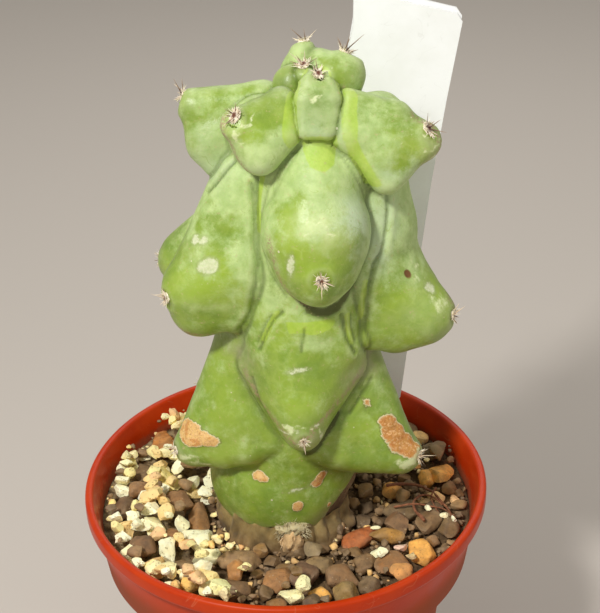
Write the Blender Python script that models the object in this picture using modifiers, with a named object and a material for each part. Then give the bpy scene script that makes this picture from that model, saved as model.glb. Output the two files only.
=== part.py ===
"""A boobie cactus in its 65 mm nursery pot, as separate closed solids.

The origin is the middle of the pot's base, +Z is up and -Y is the front of the plant.
Lengths in the named values below are millimetres and are scaled once, by MM.
A place on the plant is given the way a grower would point at it: the direction
round the stem in degrees (0 is the front, 90 the right), the distance out from
the stem's axis, and the height above the pot's base.
"""
import bmesh
import bpy
import math
import random
from mathutils import Matrix, Vector
from mathutils.bvhtree import BVHTree

MM = 0.001
GAP = 0.3                       # clearance between pieces that touch
SEED = 11

# Pot: a thin moulded 65 mm nursery pot with a rolled lip and a collar.
POT_HEIGHT = 56.0
LIP_RADIUS = 32.5
LIP_INNER_RADIUS = 30.3
LIP_DEPTH = 2.6
COLLAR_TOP_RADIUS = 31.2
COLLAR_FOOT_RADIUS = 29.7
COLLAR_DEPTH = 12.8
LIP_ROUNDING = 0.6
SHELF_DROP = 1.2                # how far inside the collar the wall steps in
BODY_TOP_RADIUS = 26.6
BASE_RADIUS = 21.8
WALL = 1.0
POT_SIDES = 60
DRAIN_RADIUS = 2.6
DRAIN_CIRCLE = 13.0
DRAIN_COUNT = 4

# Soil: grit filled to a little under the lip, highest round the stem.
SOIL_HEIGHT = 49.0
SOIL_FOOT = 1.6
SOIL_CROWN = 0.6
SOIL_CROWN_RADIUS = 14.0
SHELF_SPARE = 0.4               # room left between the soil and the wall's step
STEM_HOLE_RADIUS = 10.5
STEM_HOLE_FOOT = 38.2
STEM_HOLE_FOOT_RADIUS = 8.6
SOIL_REACH = 28.2
SOIL_GRAINS = 62
SOIL_GRAIN_SIZE = (1.5, 3.0)

# Pumice bed: pale grit on the left half, in a shallow bed in the soil.
PUMICE_FLOOR = 47.0
PUMICE_TOP = 48.9
PUMICE_INNER_RADIUS = 13.4
PUMICE_OUTER_RADIUS = 28.2
PUMICE_START = -142.0
PUMICE_END = -22.0
PUMICE_GRAINS = 74
PUMICE_GRAIN_SIZE = (1.5, 2.6)

# Stem axis: it leans to the right by LEAN for each millimetre of height.
LEAN = 0.077
AXIS_FOOT = -0.3
STEM_VOXEL = 0.75
STEM_TRIANGLES = 4400
BALL_SIDES = 14
BALL_RINGS = 9
SOFTENING_ROUNDS = 3

# The stem's swellings. A ball is (direction, out, height, radius); two balls make a
# tapered rod, three make a web, and a longer row makes a chain.
CORE = [[(0, 0, 46.2, 7.4), (0, 0, 56, 9.0), (0, 0, 70, 9.0), (0, 0, 90, 10.0),
         (0, 0, 108, 9.5), (0, 0, 117, 6.0)]]
BULB = [[(-90, 0.4, 49.5, 8.6), (-90, 0.8, 57.3, 11.7)]]


def rib(direction):
    """The ridge that a row of swellings stands on."""
    rows = ((3.5, 58, 8.0), (3.5, 68, 8.2), (3.5, 80, 8.8), (3.5, 90, 8.8),
            (3.6, 101, 8.6), (3.5, 110, 7.5), (3.0, 116, 5.2))
    return [[(direction, out, height, radius) for out, height, radius in rows]]


FRONT_RIB = [[(4, 3.6, 58, 7.6), (4, 3.6, 68, 8.0), (4, 4.2, 80, 8.4), (4, 4.6, 90, 8.6),
              (4, 4.6, 100, 8.5), (4, 4.2, 110, 7.6), (4, 4.8, 116, 4.8)],
             [(-24, 7.6, 113, 4.2), (30, 8.2, 113, 4.2), (-24, 7.4, 88, 5.2)],
             [(30, 8.2, 113, 4.2), (-24, 7.4, 88, 5.2), (33, 8.8, 86, 5.4)]]
RIBS = (FRONT_RIB, rib(68), rib(125), rib(190), rib(-106), rib(-62))


def hanging(direction, root, belly, tip, under):
    """A swelling that hangs from its ridge: root, belly, tip and underside balls."""
    at = [(direction, *ball) for ball in (root, belly, tip, under)]
    return [[at[0], at[1], at[2]], [at[1], at[2], at[3]]]


def shoulder(direction, height):
    """One of the young lobes at the back of the crown, wide and flat on top."""
    back = (direction, 7.8, height, 5.0)
    tip = (direction, 14.3, height + 0.2, 3.0)
    sides = [(direction + turn, 10.8, height - 0.8, 3.3) for turn in (-16, 16)]
    return [[back, side, tip] for side in sides]


SWELLINGS = {
    "front_upper": [[(6, 7.2, 116.2, 3.2), (7, 8.8, 110.6, 5.6), (8, 10.2, 104.2, 7.7),
                     (8, 12.3, 100.6, 6.0), (8, 14.3, 98.7, 4.1)]],
    "front_lower": [[(-36, 9.4, 81.6, 3.6), (44, 10.2, 81.0, 3.6), (6, 14.2, 72.8, 2.5)],
                    [(-18, 8.6, 84.0, 5.2), (28, 9.0, 83.5, 5.2), (5, 11.8, 77.0, 4.6)],
                    [(-12, 6.2, 90, 6.2), (20, 6.6, 90, 6.2), (5, 8.6, 82, 6.0)],
                    [(5, 6.2, 88, 6.4), (5, 8.4, 82, 6.2), (5, 14.0, 73.8, 3.1)]],
    "front_right_top": [[(62, 17.0, 116.4, 2.4), (49, 14.2, 111.8, 2.5), (27, 10.5, 118.2, 1.9)],
                        [(62, 17.0, 116.4, 2.4), (58, 13.2, 119.6, 2.2), (27, 10.5, 118.2, 1.9)],
                        [(58, 13.2, 119.6, 2.2), (34, 8.4, 122.2, 1.8), (27, 10.5, 118.2, 1.9)],
                        [(76, 8.6, 115.5, 5.0), (56, 12.6, 115.6, 4.4)],
                        [(70, 8.6, 117, 4.4), (44, 8.6, 117.2, 3.6), (56, 12.6, 115.6, 4.0)],
                        [(85, 10, 118, 3), (62, 17.0, 116.4, 2.4), (76, 8.6, 115.5, 5)]],
    "right_upper": [[(74, 8.4, 109, 6.2), (76, 8.4, 101, 8.2), (76, 8.4, 95, 9.2),
                     (72, 14.6, 90.6, 6.2), (70, 19.4, 88.6, 4.3)],
                    [(76, 8.4, 95, 8.6), (70, 19.2, 88.6, 4.3), (68, 15.5, 86.8, 4.4)],
                    [(70, 19.2, 88.6, 4.3), (68, 15.5, 86.8, 4.4), (54, 11.6, 87.2, 3.6)],
                    [(76, 8.4, 95, 8.6), (54, 11.6, 87.2, 3.6), (60, 9.6, 96, 5.6)]],
    "right_lower": [[(65, 8, 80.5, 5.2), (65, 7.5, 71, 8.2), (65, 18.5, 65.2, 3.0)],
                    [(65, 18.5, 65.2, 3.0), (50, 12, 65.0, 3.2), (65, 8, 68, 7)],
                    [(65, 18.5, 64.4, 2.8), (38, 11.4, 66.4, 2.8), (60, 8, 70, 6)],
                    [(38, 11.4, 66.4, 2.8), (22, 8.6, 68, 4.0), (50, 8, 70, 6)]],
    "right_back_top": shoulder(122, 111),
    "right_back_upper": hanging(125, (8, 104, 5.8), (8, 93, 9.2), (17.0, 86.5, 4.6),
                                (14.5, 83.8, 4.6)),
    "right_back_lower": hanging(132, (8, 78.5, 5.2), (7.5, 68, 7.8), (15.5, 63, 3.4),
                                (12.5, 61.8, 4.0)),
    "back_top": shoulder(188, 115.5),
    "back_upper": hanging(192, (8, 108, 5.8), (8, 97, 9.2), (17.2, 90.5, 4.6),
                          (14.5, 87.5, 4.8)),
    "back_lower": hanging(190, (8, 83.5, 5.2), (7.5, 73, 8.2), (16.6, 66.5, 3.4),
                          (13, 64.6, 4.2)),
    "left_back_top": [[(-92, 16.4, 119.0, 2.3), (-86, 14.7, 114.0, 2.8), (-98, 7.1, 119.3, 2.6)],
                      [(-86, 14.7, 114.0, 2.8), (-84, 12.5, 111.5, 3.0), (-98, 7.1, 119.3, 2.6)],
                      [(-92, 16.4, 119.0, 2.3), (-112, 10.5, 114, 3.2), (-98, 7.1, 119.3, 2.6)],
                      [(-96, 8, 114, 5.0), (-92, 13, 115, 3.6)]],
    "left_back_upper": [[(-104, 8, 108, 5.8), (-104, 8, 98, 7.8), (-104, 13.0, 94.6, 5.8),
                         (-104, 17.4, 92.8, 4.4)],
                        [(-104, 8, 98, 7.8), (-104, 17.4, 92.8, 4.4), (-104, 15, 89.4, 4.8)]],
    "left_back_lower": hanging(-126, (8, 80.5, 5.0), (7.0, 71, 7.6), (14.6, 66.4, 3.2),
                               (12, 65, 4.0)),
    "front_left_top": [[(-46, 14.3, 120.2, 2.2), (-33, 12.9, 115.8, 2.3), (-26, 9.4, 117.4, 2.0)],
                       [(-33, 12.9, 115.8, 2.3), (-21, 10.3, 118.5, 1.6), (-26, 9.4, 117.4, 2.0)],
                       [(-46, 14.3, 120.2, 2.2), (-34, 8.0, 122.2, 1.8), (-21, 10.3, 118.5, 1.6)],
                       [(-34, 8.0, 122.2, 1.8), (-21, 10.3, 118.5, 1.6), (-26, 8.4, 119.0, 2.2)],
                       [(-60, 8.0, 117.0, 5.0), (-40, 11.0, 117.2, 4.2)]],
    "left_upper": [[(-72, 8.4, 109, 5.6), (-74, 8.2, 97, 8.8), (-68, 16.4, 93.5, 4.7)],
                   [(-74, 8.2, 97, 8.8), (-68, 16.4, 93.5, 4.7), (-68, 15.6, 90.6, 4.6)],
                   [(-68, 16.4, 93.5, 4.7), (-68, 15.6, 90.6, 4.6), (-50, 10.4, 90.4, 3.6)],
                   [(-74, 8.2, 97, 8.8), (-50, 10.4, 90.4, 3.6), (-60, 9.0, 98, 5.6)]],
    "left_lower": [[(-68, 8, 81.5, 5.2), (-68, 7.5, 71.5, 8.0), (-68, 15.8, 65.6, 3.1)],
                   [(-68, 15.8, 65.6, 3.1), (-54, 12.6, 65.8, 2.9), (-66, 7.5, 69, 7.2)],
                   [(-54, 12.6, 65.8, 2.9), (-38, 11.2, 67.2, 2.6), (-60, 8, 70, 6)],
                   [(-38, 11.2, 67.2, 2.6), (-20, 8.6, 69, 3.8), (-50, 8, 71, 6)]],
    "crown_pillow": [[(-6, 10.3, 119.2, 1.1), (12, 10.5, 119.2, 1.1), (-8, 8.2, 123.2, 1.0)],
                     [(12, 10.5, 119.2, 1.1), (-8, 8.2, 123.2, 1.0), (15, 8.4, 123.0, 1.0)],
                     [(-8, 8.2, 123.2, 1.0), (15, 8.4, 123.0, 1.0), (-2, 6.0, 125.0, 1.1)],
                     [(15, 8.4, 123.0, 1.0), (-2, 6.0, 125.0, 1.1), (10, 6.2, 125.0, 1.1)],
                     [(4, 5, 117, 3.2), (4, 6.4, 121.4, 3.0)]],
    "crown_left": [[(-70, 2.5, 118, 3.4), (-68, 3.3, 122.8, 2.6)]],
    "crown_middle": [[(-30, 1.5, 119, 3.0), (-35, 2.6, 124.2, 1.6)]],
    "crown_right": [[(100, 2.5, 118, 4.0), (98, 3.9, 123.2, 3.3)],
                    [(98, 3.9, 123.2, 3.3), (60, 2.5, 124.0, 2.0)],
                    [(98, 3.6, 123.2, 3.2), (170, 1.6, 123.6, 3.4)]],
    "crown_back": [[(-148, 2.2, 118, 4.0), (-148, 2.1, 123.2, 3.6), (-150, 2.9, 125.7, 2.0)]],
}

# Areoles, the woolly spine cushions: (direction, out, height, pad radius, spine count,
# longest spine, how many degrees the fan of spines looks up).
AREOLES = {
    "front_crown": (3, 6.4, 125.8, 1.2, 5, 2.6, 50),
    "crown_middle": (-40, 2.6, 125.8, 1.2, 5, 3.0, 75),
    "crown_right": (105, 4.2, 126.2, 1.2, 5, 3.4, 60),
    "crown_back": (-150, 3.0, 127.4, 1.2, 5, 2.8, 65),
    "front_left_top": (-43, 14.6, 121.4, 1.3, 5, 2.4, 35),
    "left_back_top": (-92, 16.8, 119.8, 1.2, 5, 2.6, 30),
    "front_right_top": (60, 16.8, 118.0, 1.2, 6, 2.4, 30),
    "front_upper": (7, 15.0, 99.6, 1.4, 6, 2.6, 0),
    "left_upper": (-66, 18.0, 92.8, 1.3, 5, 2.2, 5),
    "left_back_upper": (-104, 18.5, 92.0, 1.2, 5, 2.2, 5),
    "right_upper": (70, 21.0, 88.8, 1.2, 5, 2.2, 5),
    "front_lower": (5, 15.2, 73.4, 1.3, 4, 2.2, -5),
    "left_lower": (-68, 17.4, 65.4, 1.2, 4, 2.4, 0),
    "left_back_lower": (-126, 16.6, 66.2, 1.1, 4, 2.0, 0),
    "right_lower": (65, 20.0, 65.0, 1.2, 4, 2.6, 0),
    "right_back_top": (122, 15.4, 111.2, 1.1, 5, 2.2, 20),
    "right_back_upper": (125, 19.5, 86.5, 1.1, 4, 2.2, 5),
    "right_back_lower": (132, 17.0, 63.0, 1.1, 4, 2.0, 0),
    "back_top": (188, 15.4, 115.7, 1.1, 5, 2.2, 20),
    "back_upper": (192, 19.5, 90.5, 1.1, 4, 2.2, 5),
    "back_lower": (190, 18.0, 66.5, 1.1, 4, 2.0, 0),
    "front_foot": (3, 9.0, 52.4, 2.0, 3, 1.6, 5),
}
PAD_FLATNESS = 0.6              # a pad's height over its width
PAD_SINK = 0.45                 # how deep a pad sits in the skin, in pad heights
SPINE_RADIUS = 0.2
SPINE_SPREAD = (42, 60)         # how far the outer spines lean out, in degrees
FIRST_SPINE_LEAN = 12
SKIN_REACH = 14.0               # how far out the search for the skin starts

# Stones that lie by themselves on the grit: (x, y, width, depth, height, turn).
STONES = {
    "brown_back_left": (-21.0, 15.6, 5.4, 7.0, 3.4, 10),
    "brown_left": (-24.6, 3.2, 4.0, 5.0, 3.0, -20),
    "brown_by_stem": (-17.9, 0.6, 5.4, 7.4, 3.6, 8),
    "brown_front_left": (-17.9, -8.8, 3.6, 4.4, 3.0, 25),
    "slate_left": (-22.6, -11.8, 5.2, 5.4, 3.2, -15),
    "yellow_front_left": (-14.6, -20.6, 3.8, 3.6, 3.0, 5),
    "slab_by_stem": (-7.0, -14.6, 9.0, 6.0, 3.4, -18),
    "brown_front": (-1.4, -19.9, 6.0, 6.2, 3.8, 24),
    "round_front": (-7.6, -22.6, 5.0, 5.2, 3.4, 0),
    "tan_front": (5.0, -24.2, 4.2, 4.6, 3.0, 30),
    "grey_front": (5.4, -16.2, 5.6, 4.4, 3.0, -12),
    "grey_front_right": (12.2, -16.4, 5.2, 4.8, 3.2, 35),
    "dark_front_right": (12.6, -22.2, 4.0, 4.4, 3.0, -25),
    "red_slab": (11.6, -9.6, 8.6, 4.6, 2.8, 32),
    "tan_right": (21.0, -14.6, 5.4, 6.4, 3.8, 15),
    "dark_block": (19.2, -3.4, 7.6, 5.6, 3.6, 12),
    "tan_right_back": (23.4, 4.6, 3.6, 4.8, 3.2, -10),
    "grey_right_back": (24.8, 11.6, 4.6, 4.6, 3.2, 20),
}
STONE_SINK = 0.42               # part of a stone's height that is below the grit

# Labels: two blank plastic strips pushed into the grit behind the plant.
LABEL_THICKNESS = 0.7
LABEL_FOOT = 27.0
LABEL_FOOT_Y = 16.6
LABEL_TILT = 2.2
LABEL_LIFT = 0.6                # how much higher the rear one stands
LABEL_RIGHT_EDGE = ((16.4, 51.0), (19.8, 59.0), (20.6, 66.0), (22.3, 82.0), (24.2, 98.0),
                    (26.3, 112.0), (28.4, 124.4))
LABEL_TOP = ((27.6, 125.6), (11.9, 129.6))
LABEL_WIDTH = 16.6
LABEL_POINT_X = 12.8
LABEL_POINT_HEIGHT = 8.0        # the foot narrows to a point over this height
LABEL_POINT_HALF = 3.0
LABEL_SHOULDER_HALF = 4.4
LABEL_CLEAR_X = (8.0, 23.0)     # no grain lies where the labels stand
LABEL_CLEAR_Y = (-2.5, 3.5)

# One dry root lies on the grit at the right.
ROOT_PATH = ((16.6, 2.4, 50.3), (19.6, 3.0, 50.7), (22.6, 1.4, 50.5), (25.2, -2.6, 50.3),
             (26.2, -7.4, 50.1))
ROOT_RADIUS = 0.4
ROOT_CLEARANCE = 1.6

COLOURS = {
    "pot": ((0.62, 0.10, 0.035), 0.42),
    "soil": ((0.075, 0.052, 0.038), 0.95),
    "pumice": ((0.72, 0.66, 0.47), 0.9),
    "stem": ((0.27, 0.40, 0.15), 0.48),
    "areole": ((0.45, 0.33, 0.24), 0.9),
    "stone": ((0.20, 0.125, 0.08), 0.85),
    "label": ((0.82, 0.82, 0.80), 0.4),
    "root": ((0.23, 0.085, 0.045), 0.8),
}


def axis_x(height):
    return AXIS_FOOT + LEAN * (height - SOIL_HEIGHT)


def place(direction, out, height):
    """A place on the plant, as a point in metres."""
    turn = math.radians(direction)
    return Vector((axis_x(height) + out * math.sin(turn), -out * math.cos(turn), height)) * MM


def facing(direction, up):
    turn = math.radians(direction)
    rise = math.radians(up)
    return Vector((math.sin(turn) * math.cos(rise), -math.cos(turn) * math.cos(rise),
                   math.sin(rise)))


def clear_scene():
    for old in list(bpy.data.objects):
        bpy.data.objects.remove(old)
    for name in ("boobie_cactus", "cutters"):
        if name not in bpy.data.collections:
            bpy.context.scene.collection.children.link(bpy.data.collections.new(name))


def new_object(name, mesh, collection="cutters"):
    piece = bpy.data.objects.new(name, mesh)
    bpy.data.collections[collection].objects.link(piece)
    if collection == "cutters":
        piece.hide_render = True
        piece.display_type = "WIRE"
    return piece


def object_from(name, bm, collection="cutters"):
    bmesh.ops.recalc_face_normals(bm, faces=bm.faces[:])
    mesh = bpy.data.meshes.new(name)
    bm.to_mesh(mesh)
    bm.free()
    return new_object(name, mesh, collection)


def settle(piece):
    """Replace a piece's mesh by what its modifiers make of it."""
    bpy.context.view_layer.update()
    evaluated = piece.evaluated_get(bpy.context.evaluated_depsgraph_get())
    mesh = bpy.data.meshes.new_from_object(evaluated)
    piece.modifiers.clear()
    piece.data = mesh


def cut(piece, cutter):
    step = piece.modifiers.new("cut", "BOOLEAN")
    step.operation = "DIFFERENCE"
    step.object = cutter
    settle(piece)
    bpy.data.objects.remove(cutter)


def fuse(piece, shapes, solver="EXACT"):
    """Union a list of closed objects into a piece, in one step."""
    bunch = bpy.data.collections.new("bunch")
    bpy.context.scene.collection.children.link(bunch)
    for shape in shapes:
        bpy.data.collections["cutters"].objects.unlink(shape)
        bunch.objects.link(shape)
    step = piece.modifiers.new("fuse", "BOOLEAN")
    step.operation = "UNION"
    step.operand_type = "COLLECTION"
    step.collection = bunch
    step.solver = solver
    settle(piece)
    for shape in shapes:
        bpy.data.objects.remove(shape)
    bpy.data.collections.remove(bunch)


def tidy_mesh(piece, merge=0.000001):
    """Weld slivers away and leave triangles that all face out."""
    bm = bmesh.new()
    bm.from_mesh(piece.data)
    bmesh.ops.remove_doubles(bm, verts=bm.verts, dist=merge)
    bmesh.ops.dissolve_degenerate(bm, edges=bm.edges, dist=merge)
    bmesh.ops.triangulate(bm, faces=bm.faces[:])
    bmesh.ops.recalc_face_normals(bm, faces=bm.faces[:])
    bm.to_mesh(piece.data)
    bm.free()


def drop_scraps(piece):
    """Keep a piece's largest body; what a cut left loose beside it goes."""
    bm = bmesh.new()
    bm.from_mesh(piece.data)
    waiting = set(bm.verts)
    bodies = []
    while waiting:
        body = set()
        edge = [min(waiting, key=lambda vert: vert.index)]
        while edge:
            vert = edge.pop()
            if vert not in body:
                body.add(vert)
                edge += [link.other_vert(vert) for link in vert.link_edges]
        waiting -= body
        bodies.append(body)
    largest = max(bodies, key=len)
    loose = [vert for vert in bm.verts if vert not in largest]
    bmesh.ops.delete(bm, geom=loose, context="VERTS")
    bm.to_mesh(piece.data)
    bm.free()


def paint(piece, kind):
    colour, roughness = COLOURS[kind]
    finish = bpy.data.materials.get(kind)
    if finish is None:
        finish = bpy.data.materials.new(kind)
        finish.use_nodes = True
        shader = finish.node_tree.nodes["Principled BSDF"]
        shader.inputs["Base Color"].default_value = (*colour, 1)
        shader.inputs["Roughness"].default_value = roughness
        shader.inputs["Metallic"].default_value = 0.0
    piece.data.materials.clear()
    piece.data.materials.append(finish)


def show(piece, name, kind, smooth_angle=None):
    """Move a finished piece into the part, named and painted."""
    tidy_mesh(piece)
    piece.name = name
    piece.data.name = name
    bpy.data.collections["cutters"].objects.unlink(piece)
    bpy.data.collections["boobie_cactus"].objects.link(piece)
    piece.hide_render = False
    piece.display_type = "TEXTURED"
    paint(piece, kind)
    if smooth_angle:
        piece.data.shade_smooth()
        piece.data.set_sharp_from_angle(angle=math.radians(smooth_angle))
    return piece


def turned(name, profile, sides=POT_SIDES):
    """Turn a profile of (radius, height) round the upright axis."""
    mesh = bpy.data.meshes.new(name)
    points = [(radius * MM, 0.0, height * MM) for radius, height in profile]
    count = len(points)
    mesh.from_pydata(points, [(i, (i + 1) % count) for i in range(count)], [])
    piece = new_object(name, mesh)
    screw = piece.modifiers.new("turn", "SCREW")
    screw.axis = "Z"
    screw.angle = math.tau
    screw.steps = sides
    screw.render_steps = sides
    screw.use_merge_vertices = True
    screw.merge_threshold = 0.00005
    settle(piece)
    tidy_mesh(piece)
    return piece


def cone(name, radius_low, radius_high, low, high, at=(0.0, 0.0), sides=32):
    bm = bmesh.new()
    middle = Vector((at[0], at[1], (low + high) / 2)) * MM
    bmesh.ops.create_cone(bm, cap_ends=True, segments=sides, radius1=radius_low * MM,
                          radius2=radius_high * MM, depth=(high - low) * MM,
                          matrix=Matrix.Translation(middle))
    return object_from(name, bm)


# The pot.

def make_pot():
    lip_foot = POT_HEIGHT - LIP_DEPTH
    collar_foot = POT_HEIGHT - COLLAR_DEPTH
    soft = LIP_ROUNDING
    outer = [(LIP_INNER_RADIUS, POT_HEIGHT - soft), (LIP_INNER_RADIUS + soft, POT_HEIGHT),
             (LIP_RADIUS - soft, POT_HEIGHT), (LIP_RADIUS, POT_HEIGHT - soft),
             (LIP_RADIUS, lip_foot + soft), (LIP_RADIUS - soft, lip_foot),
             (COLLAR_TOP_RADIUS, lip_foot), (COLLAR_FOOT_RADIUS, collar_foot + soft),
             (COLLAR_FOOT_RADIUS - soft, collar_foot), (BODY_TOP_RADIUS, collar_foot),
             (BASE_RADIUS, soft), (BASE_RADIUS - soft, 0.0), (0.0, 0.0)]
    inner = [(0.0, WALL), (BASE_RADIUS - WALL, WALL),
             (BODY_TOP_RADIUS - WALL, collar_foot - SHELF_DROP),
             (COLLAR_FOOT_RADIUS - WALL, collar_foot + WALL)]
    pot = turned("pot", outer + inner)
    for i in range(DRAIN_COUNT):
        turn = math.tau * (i + 0.5) / DRAIN_COUNT
        at = (DRAIN_CIRCLE * math.cos(turn), DRAIN_CIRCLE * math.sin(turn))
        cut(pot, cone("drain", DRAIN_RADIUS, DRAIN_RADIUS, -WALL, WALL * 2, at, 16))
    return show(pot, "pot", "pot", 32)


# The stem.

def hull(balls):
    """The smallest smooth skin round a few balls, as a bmesh."""
    bm = bmesh.new()
    for direction, out, height, radius in balls:
        bmesh.ops.create_uvsphere(bm, u_segments=BALL_SIDES, v_segments=BALL_RINGS,
                                  radius=radius * MM,
                                  matrix=Matrix.Translation(place(direction, out, height)))
    bmesh.ops.delete(bm, geom=bm.faces[:], context="FACES_ONLY")
    bmesh.ops.convex_hull(bm, input=bm.verts[:])
    bmesh.ops.delete(bm, geom=[e for e in bm.edges if not e.link_faces], context="EDGES")
    bmesh.ops.delete(bm, geom=[v for v in bm.verts if not v.link_faces], context="VERTS")
    return bm


def stem_hulls():
    patches = CORE + BULB
    for ridge in RIBS:
        patches = patches + ridge
    for patch_list in SWELLINGS.values():
        patches = patches + patch_list
    for patch in patches:
        if len(patch) == 3:
            yield hull(patch)
        else:
            for pair in zip(patch[:-1], patch[1:]):
                yield hull(pair)


def make_stem():
    joined = bmesh.new()
    for shape in stem_hulls():
        mesh = bpy.data.meshes.new("hull")
        shape.to_mesh(mesh)
        shape.free()
        joined.from_mesh(mesh)
        bpy.data.meshes.remove(mesh)
    stem = object_from("stem", joined)
    remesh = stem.modifiers.new("skin", "REMESH")
    remesh.mode = "VOXEL"
    remesh.voxel_size = STEM_VOXEL * MM
    smooth = stem.modifiers.new("soften", "SMOOTH")
    smooth.factor = 0.5
    smooth.iterations = SOFTENING_ROUNDS
    settle(stem)
    triangles = sum(len(face.vertices) - 2 for face in stem.data.polygons)
    thin = stem.modifiers.new("thin", "DECIMATE")
    thin.ratio = STEM_TRIANGLES / triangles
    settle(stem)
    tidy_mesh(stem)
    return stem


# Areoles: a woolly pad with a fan of spines, each in a pocket in the skin.

def pad_matrix(centre, outward, radius):
    turn = outward.to_track_quat("Z", "Y").to_matrix().to_4x4()
    size = Matrix.Diagonal((radius, radius, radius * PAD_FLATNESS, 1))
    return Matrix.Translation(centre) @ turn @ size


def make_pad(name, centre, outward, radius):
    bm = bmesh.new()
    bmesh.ops.create_icosphere(bm, subdivisions=1, radius=MM,
                               matrix=pad_matrix(centre, outward, radius))
    return object_from(name, bm)


def spine(root, way, length):
    bm = bmesh.new()
    turn = way.to_track_quat("Z", "Y").to_matrix().to_4x4()
    middle = root + way * (length / 2 * MM)
    bmesh.ops.create_cone(bm, cap_ends=True, segments=4, radius1=SPINE_RADIUS * MM,
                          radius2=SPINE_RADIUS * 0.25 * MM, depth=length * MM,
                          matrix=Matrix.Translation(middle) @ turn)
    return object_from("spine", bm)


def free_way(skin, root, way, outward, length):
    """Turn a spine towards the pad's own facing until it clears the skin."""
    for step in range(6):
        trial = way.lerp(outward, step / 6).normalized()
        start = root + outward * (0.35 * MM)
        hit = skin.ray_cast(start, trial, length * 1.25 * MM)
        near = skin.find_nearest(start + trial * (length * MM))
        if hit[0] is None and near[3] > 3 * SPINE_RADIUS * MM:
            return trial
    return outward


def make_areoles(stem):
    skin = BVHTree.FromObject(stem, bpy.context.evaluated_depsgraph_get())
    pads = []
    for name, (direction, out, height, radius, count, longest, up) in AREOLES.items():
        rng = random.Random(f"{SEED} {name}")
        outward = facing(direction, up)
        aim = place(direction, out, height)
        hit = skin.ray_cast(aim + outward * (SKIN_REACH * MM), -outward)[0]
        centre = hit - outward * (PAD_SINK * radius * PAD_FLATNESS * MM)
        pads.append((centre, outward, radius))
        pad = make_pad("areole_" + name, centre, outward, radius)
        side = outward.orthogonal().normalized()
        spines = []
        for i in range(count):
            turn = Matrix.Rotation(math.tau * (i + rng.random() * 0.5) / count, 3, outward)
            lean = math.radians(rng.uniform(*SPINE_SPREAD) if i else FIRST_SPINE_LEAN)
            way = (outward * math.cos(lean) + (turn @ side) * math.sin(lean)).normalized()
            length = longest * (1.0 if i == 0 else rng.uniform(0.6, 0.9))
            root = centre + (turn @ side) * (radius * 0.3 * MM if i else 0.0)
            spines.append(spine(root, free_way(skin, root, way, outward, length), length))
        fuse(pad, spines, "MANIFOLD")
        show(pad, "areole_" + name, "areole")
    for centre, outward, radius in pads:
        cut(stem, make_pad("pocket", centre, outward, radius + GAP))


# Grit and stones.

def pebble(name, centre, size, turn, rng, points=9, margin=0.0):
    """An angular stone: the hull of a few points on a squashed ball, from its centre."""
    bm = bmesh.new()
    for i in range(points):
        up = 1 - 2 * (i + 0.5) / points
        around = i * 2.4 + rng.uniform(-0.4, 0.4)
        ring = math.sqrt(1 - up * up)
        reach = rng.uniform(0.82, 1.0)
        spot = Vector((ring * math.cos(around), ring * math.sin(around), up)) * reach
        half = Vector([length / 2 + margin for length in size])
        bm.verts.new(Vector(spot * half for spot, half in zip(spot, half)) * MM)
    bmesh.ops.convex_hull(bm, input=bm.verts[:])
    bmesh.ops.delete(bm, geom=[v for v in bm.verts if not v.link_faces], context="VERTS")
    place_it = Matrix.Translation(centre) @ Matrix.Rotation(math.radians(turn), 4, "Z")
    bmesh.ops.transform(bm, matrix=place_it, verts=bm.verts[:])
    return object_from(name, bm)


def polar(direction, radius, height):
    """A place in the pot, from the middle of the pot and not from the leaning stem."""
    turn = math.radians(direction)
    return Vector((radius * math.sin(turn), -radius * math.cos(turn), height)) * MM


def direction_of(x, y):
    return math.degrees(math.atan2(x, -y))


def in_pumice(direction, margin=0.0):
    return PUMICE_START + margin < direction < PUMICE_END - margin


def stone_shape(name, margin=0.0):
    x, y, width, depth, height, turn = STONES[name]
    rng = random.Random(f"{SEED} {name}")
    ground = PUMICE_TOP if in_pumice(direction_of(x, y)) else SOIL_HEIGHT
    centre = Vector((x, y, ground + height * (0.5 - STONE_SINK))) * MM
    return pebble(name, centre, (width, depth, height), turn, rng, 11, margin)


def clear_of_stones(x, y, size):
    """Whether a grain stays off the stones, the root and the labels' feet."""
    for sx, sy, width, depth, _, _ in STONES.values():
        if math.hypot(x - sx, y - sy) < max(width, depth) * 0.5 + size * 0.2:
            return False
    for rx, ry, _ in ROOT_PATH:
        if math.hypot(x - rx, y - ry) < ROOT_CLEARANCE + size:
            return False
    beside = LABEL_CLEAR_X[0] < x < LABEL_CLEAR_X[1]
    return not (beside and LABEL_CLEAR_Y[0] < y - LABEL_FOOT_Y < LABEL_CLEAR_Y[1])


def scatter(rng, count, sizes, fits, limit=4000):
    """Grain places (x, y, size) that fit, spread so that neighbours only just touch."""
    found = []
    for _ in range(limit):
        if len(found) == count:
            break
        size = rng.uniform(*sizes)
        radius = SOIL_REACH * math.sqrt(rng.random())
        turn = rng.uniform(0, math.tau)
        x, y = radius * math.cos(turn), radius * math.sin(turn)
        crowded = any(math.hypot(x - a, y - b) < (size + c) * 0.42 for a, b, c in found)
        if not crowded and fits(x, y, size):
            found.append((x, y, size))
    return found


def grain(rng, x, y, size, ground):
    span = (size * rng.uniform(0.85, 1.25), size * rng.uniform(0.85, 1.25), size * 0.9)
    centre = Vector((x, y, ground + rng.uniform(-0.05, 0.2) * size)) * MM
    return pebble("grain", centre, span, rng.uniform(0, 360), rng, 8)


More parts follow.
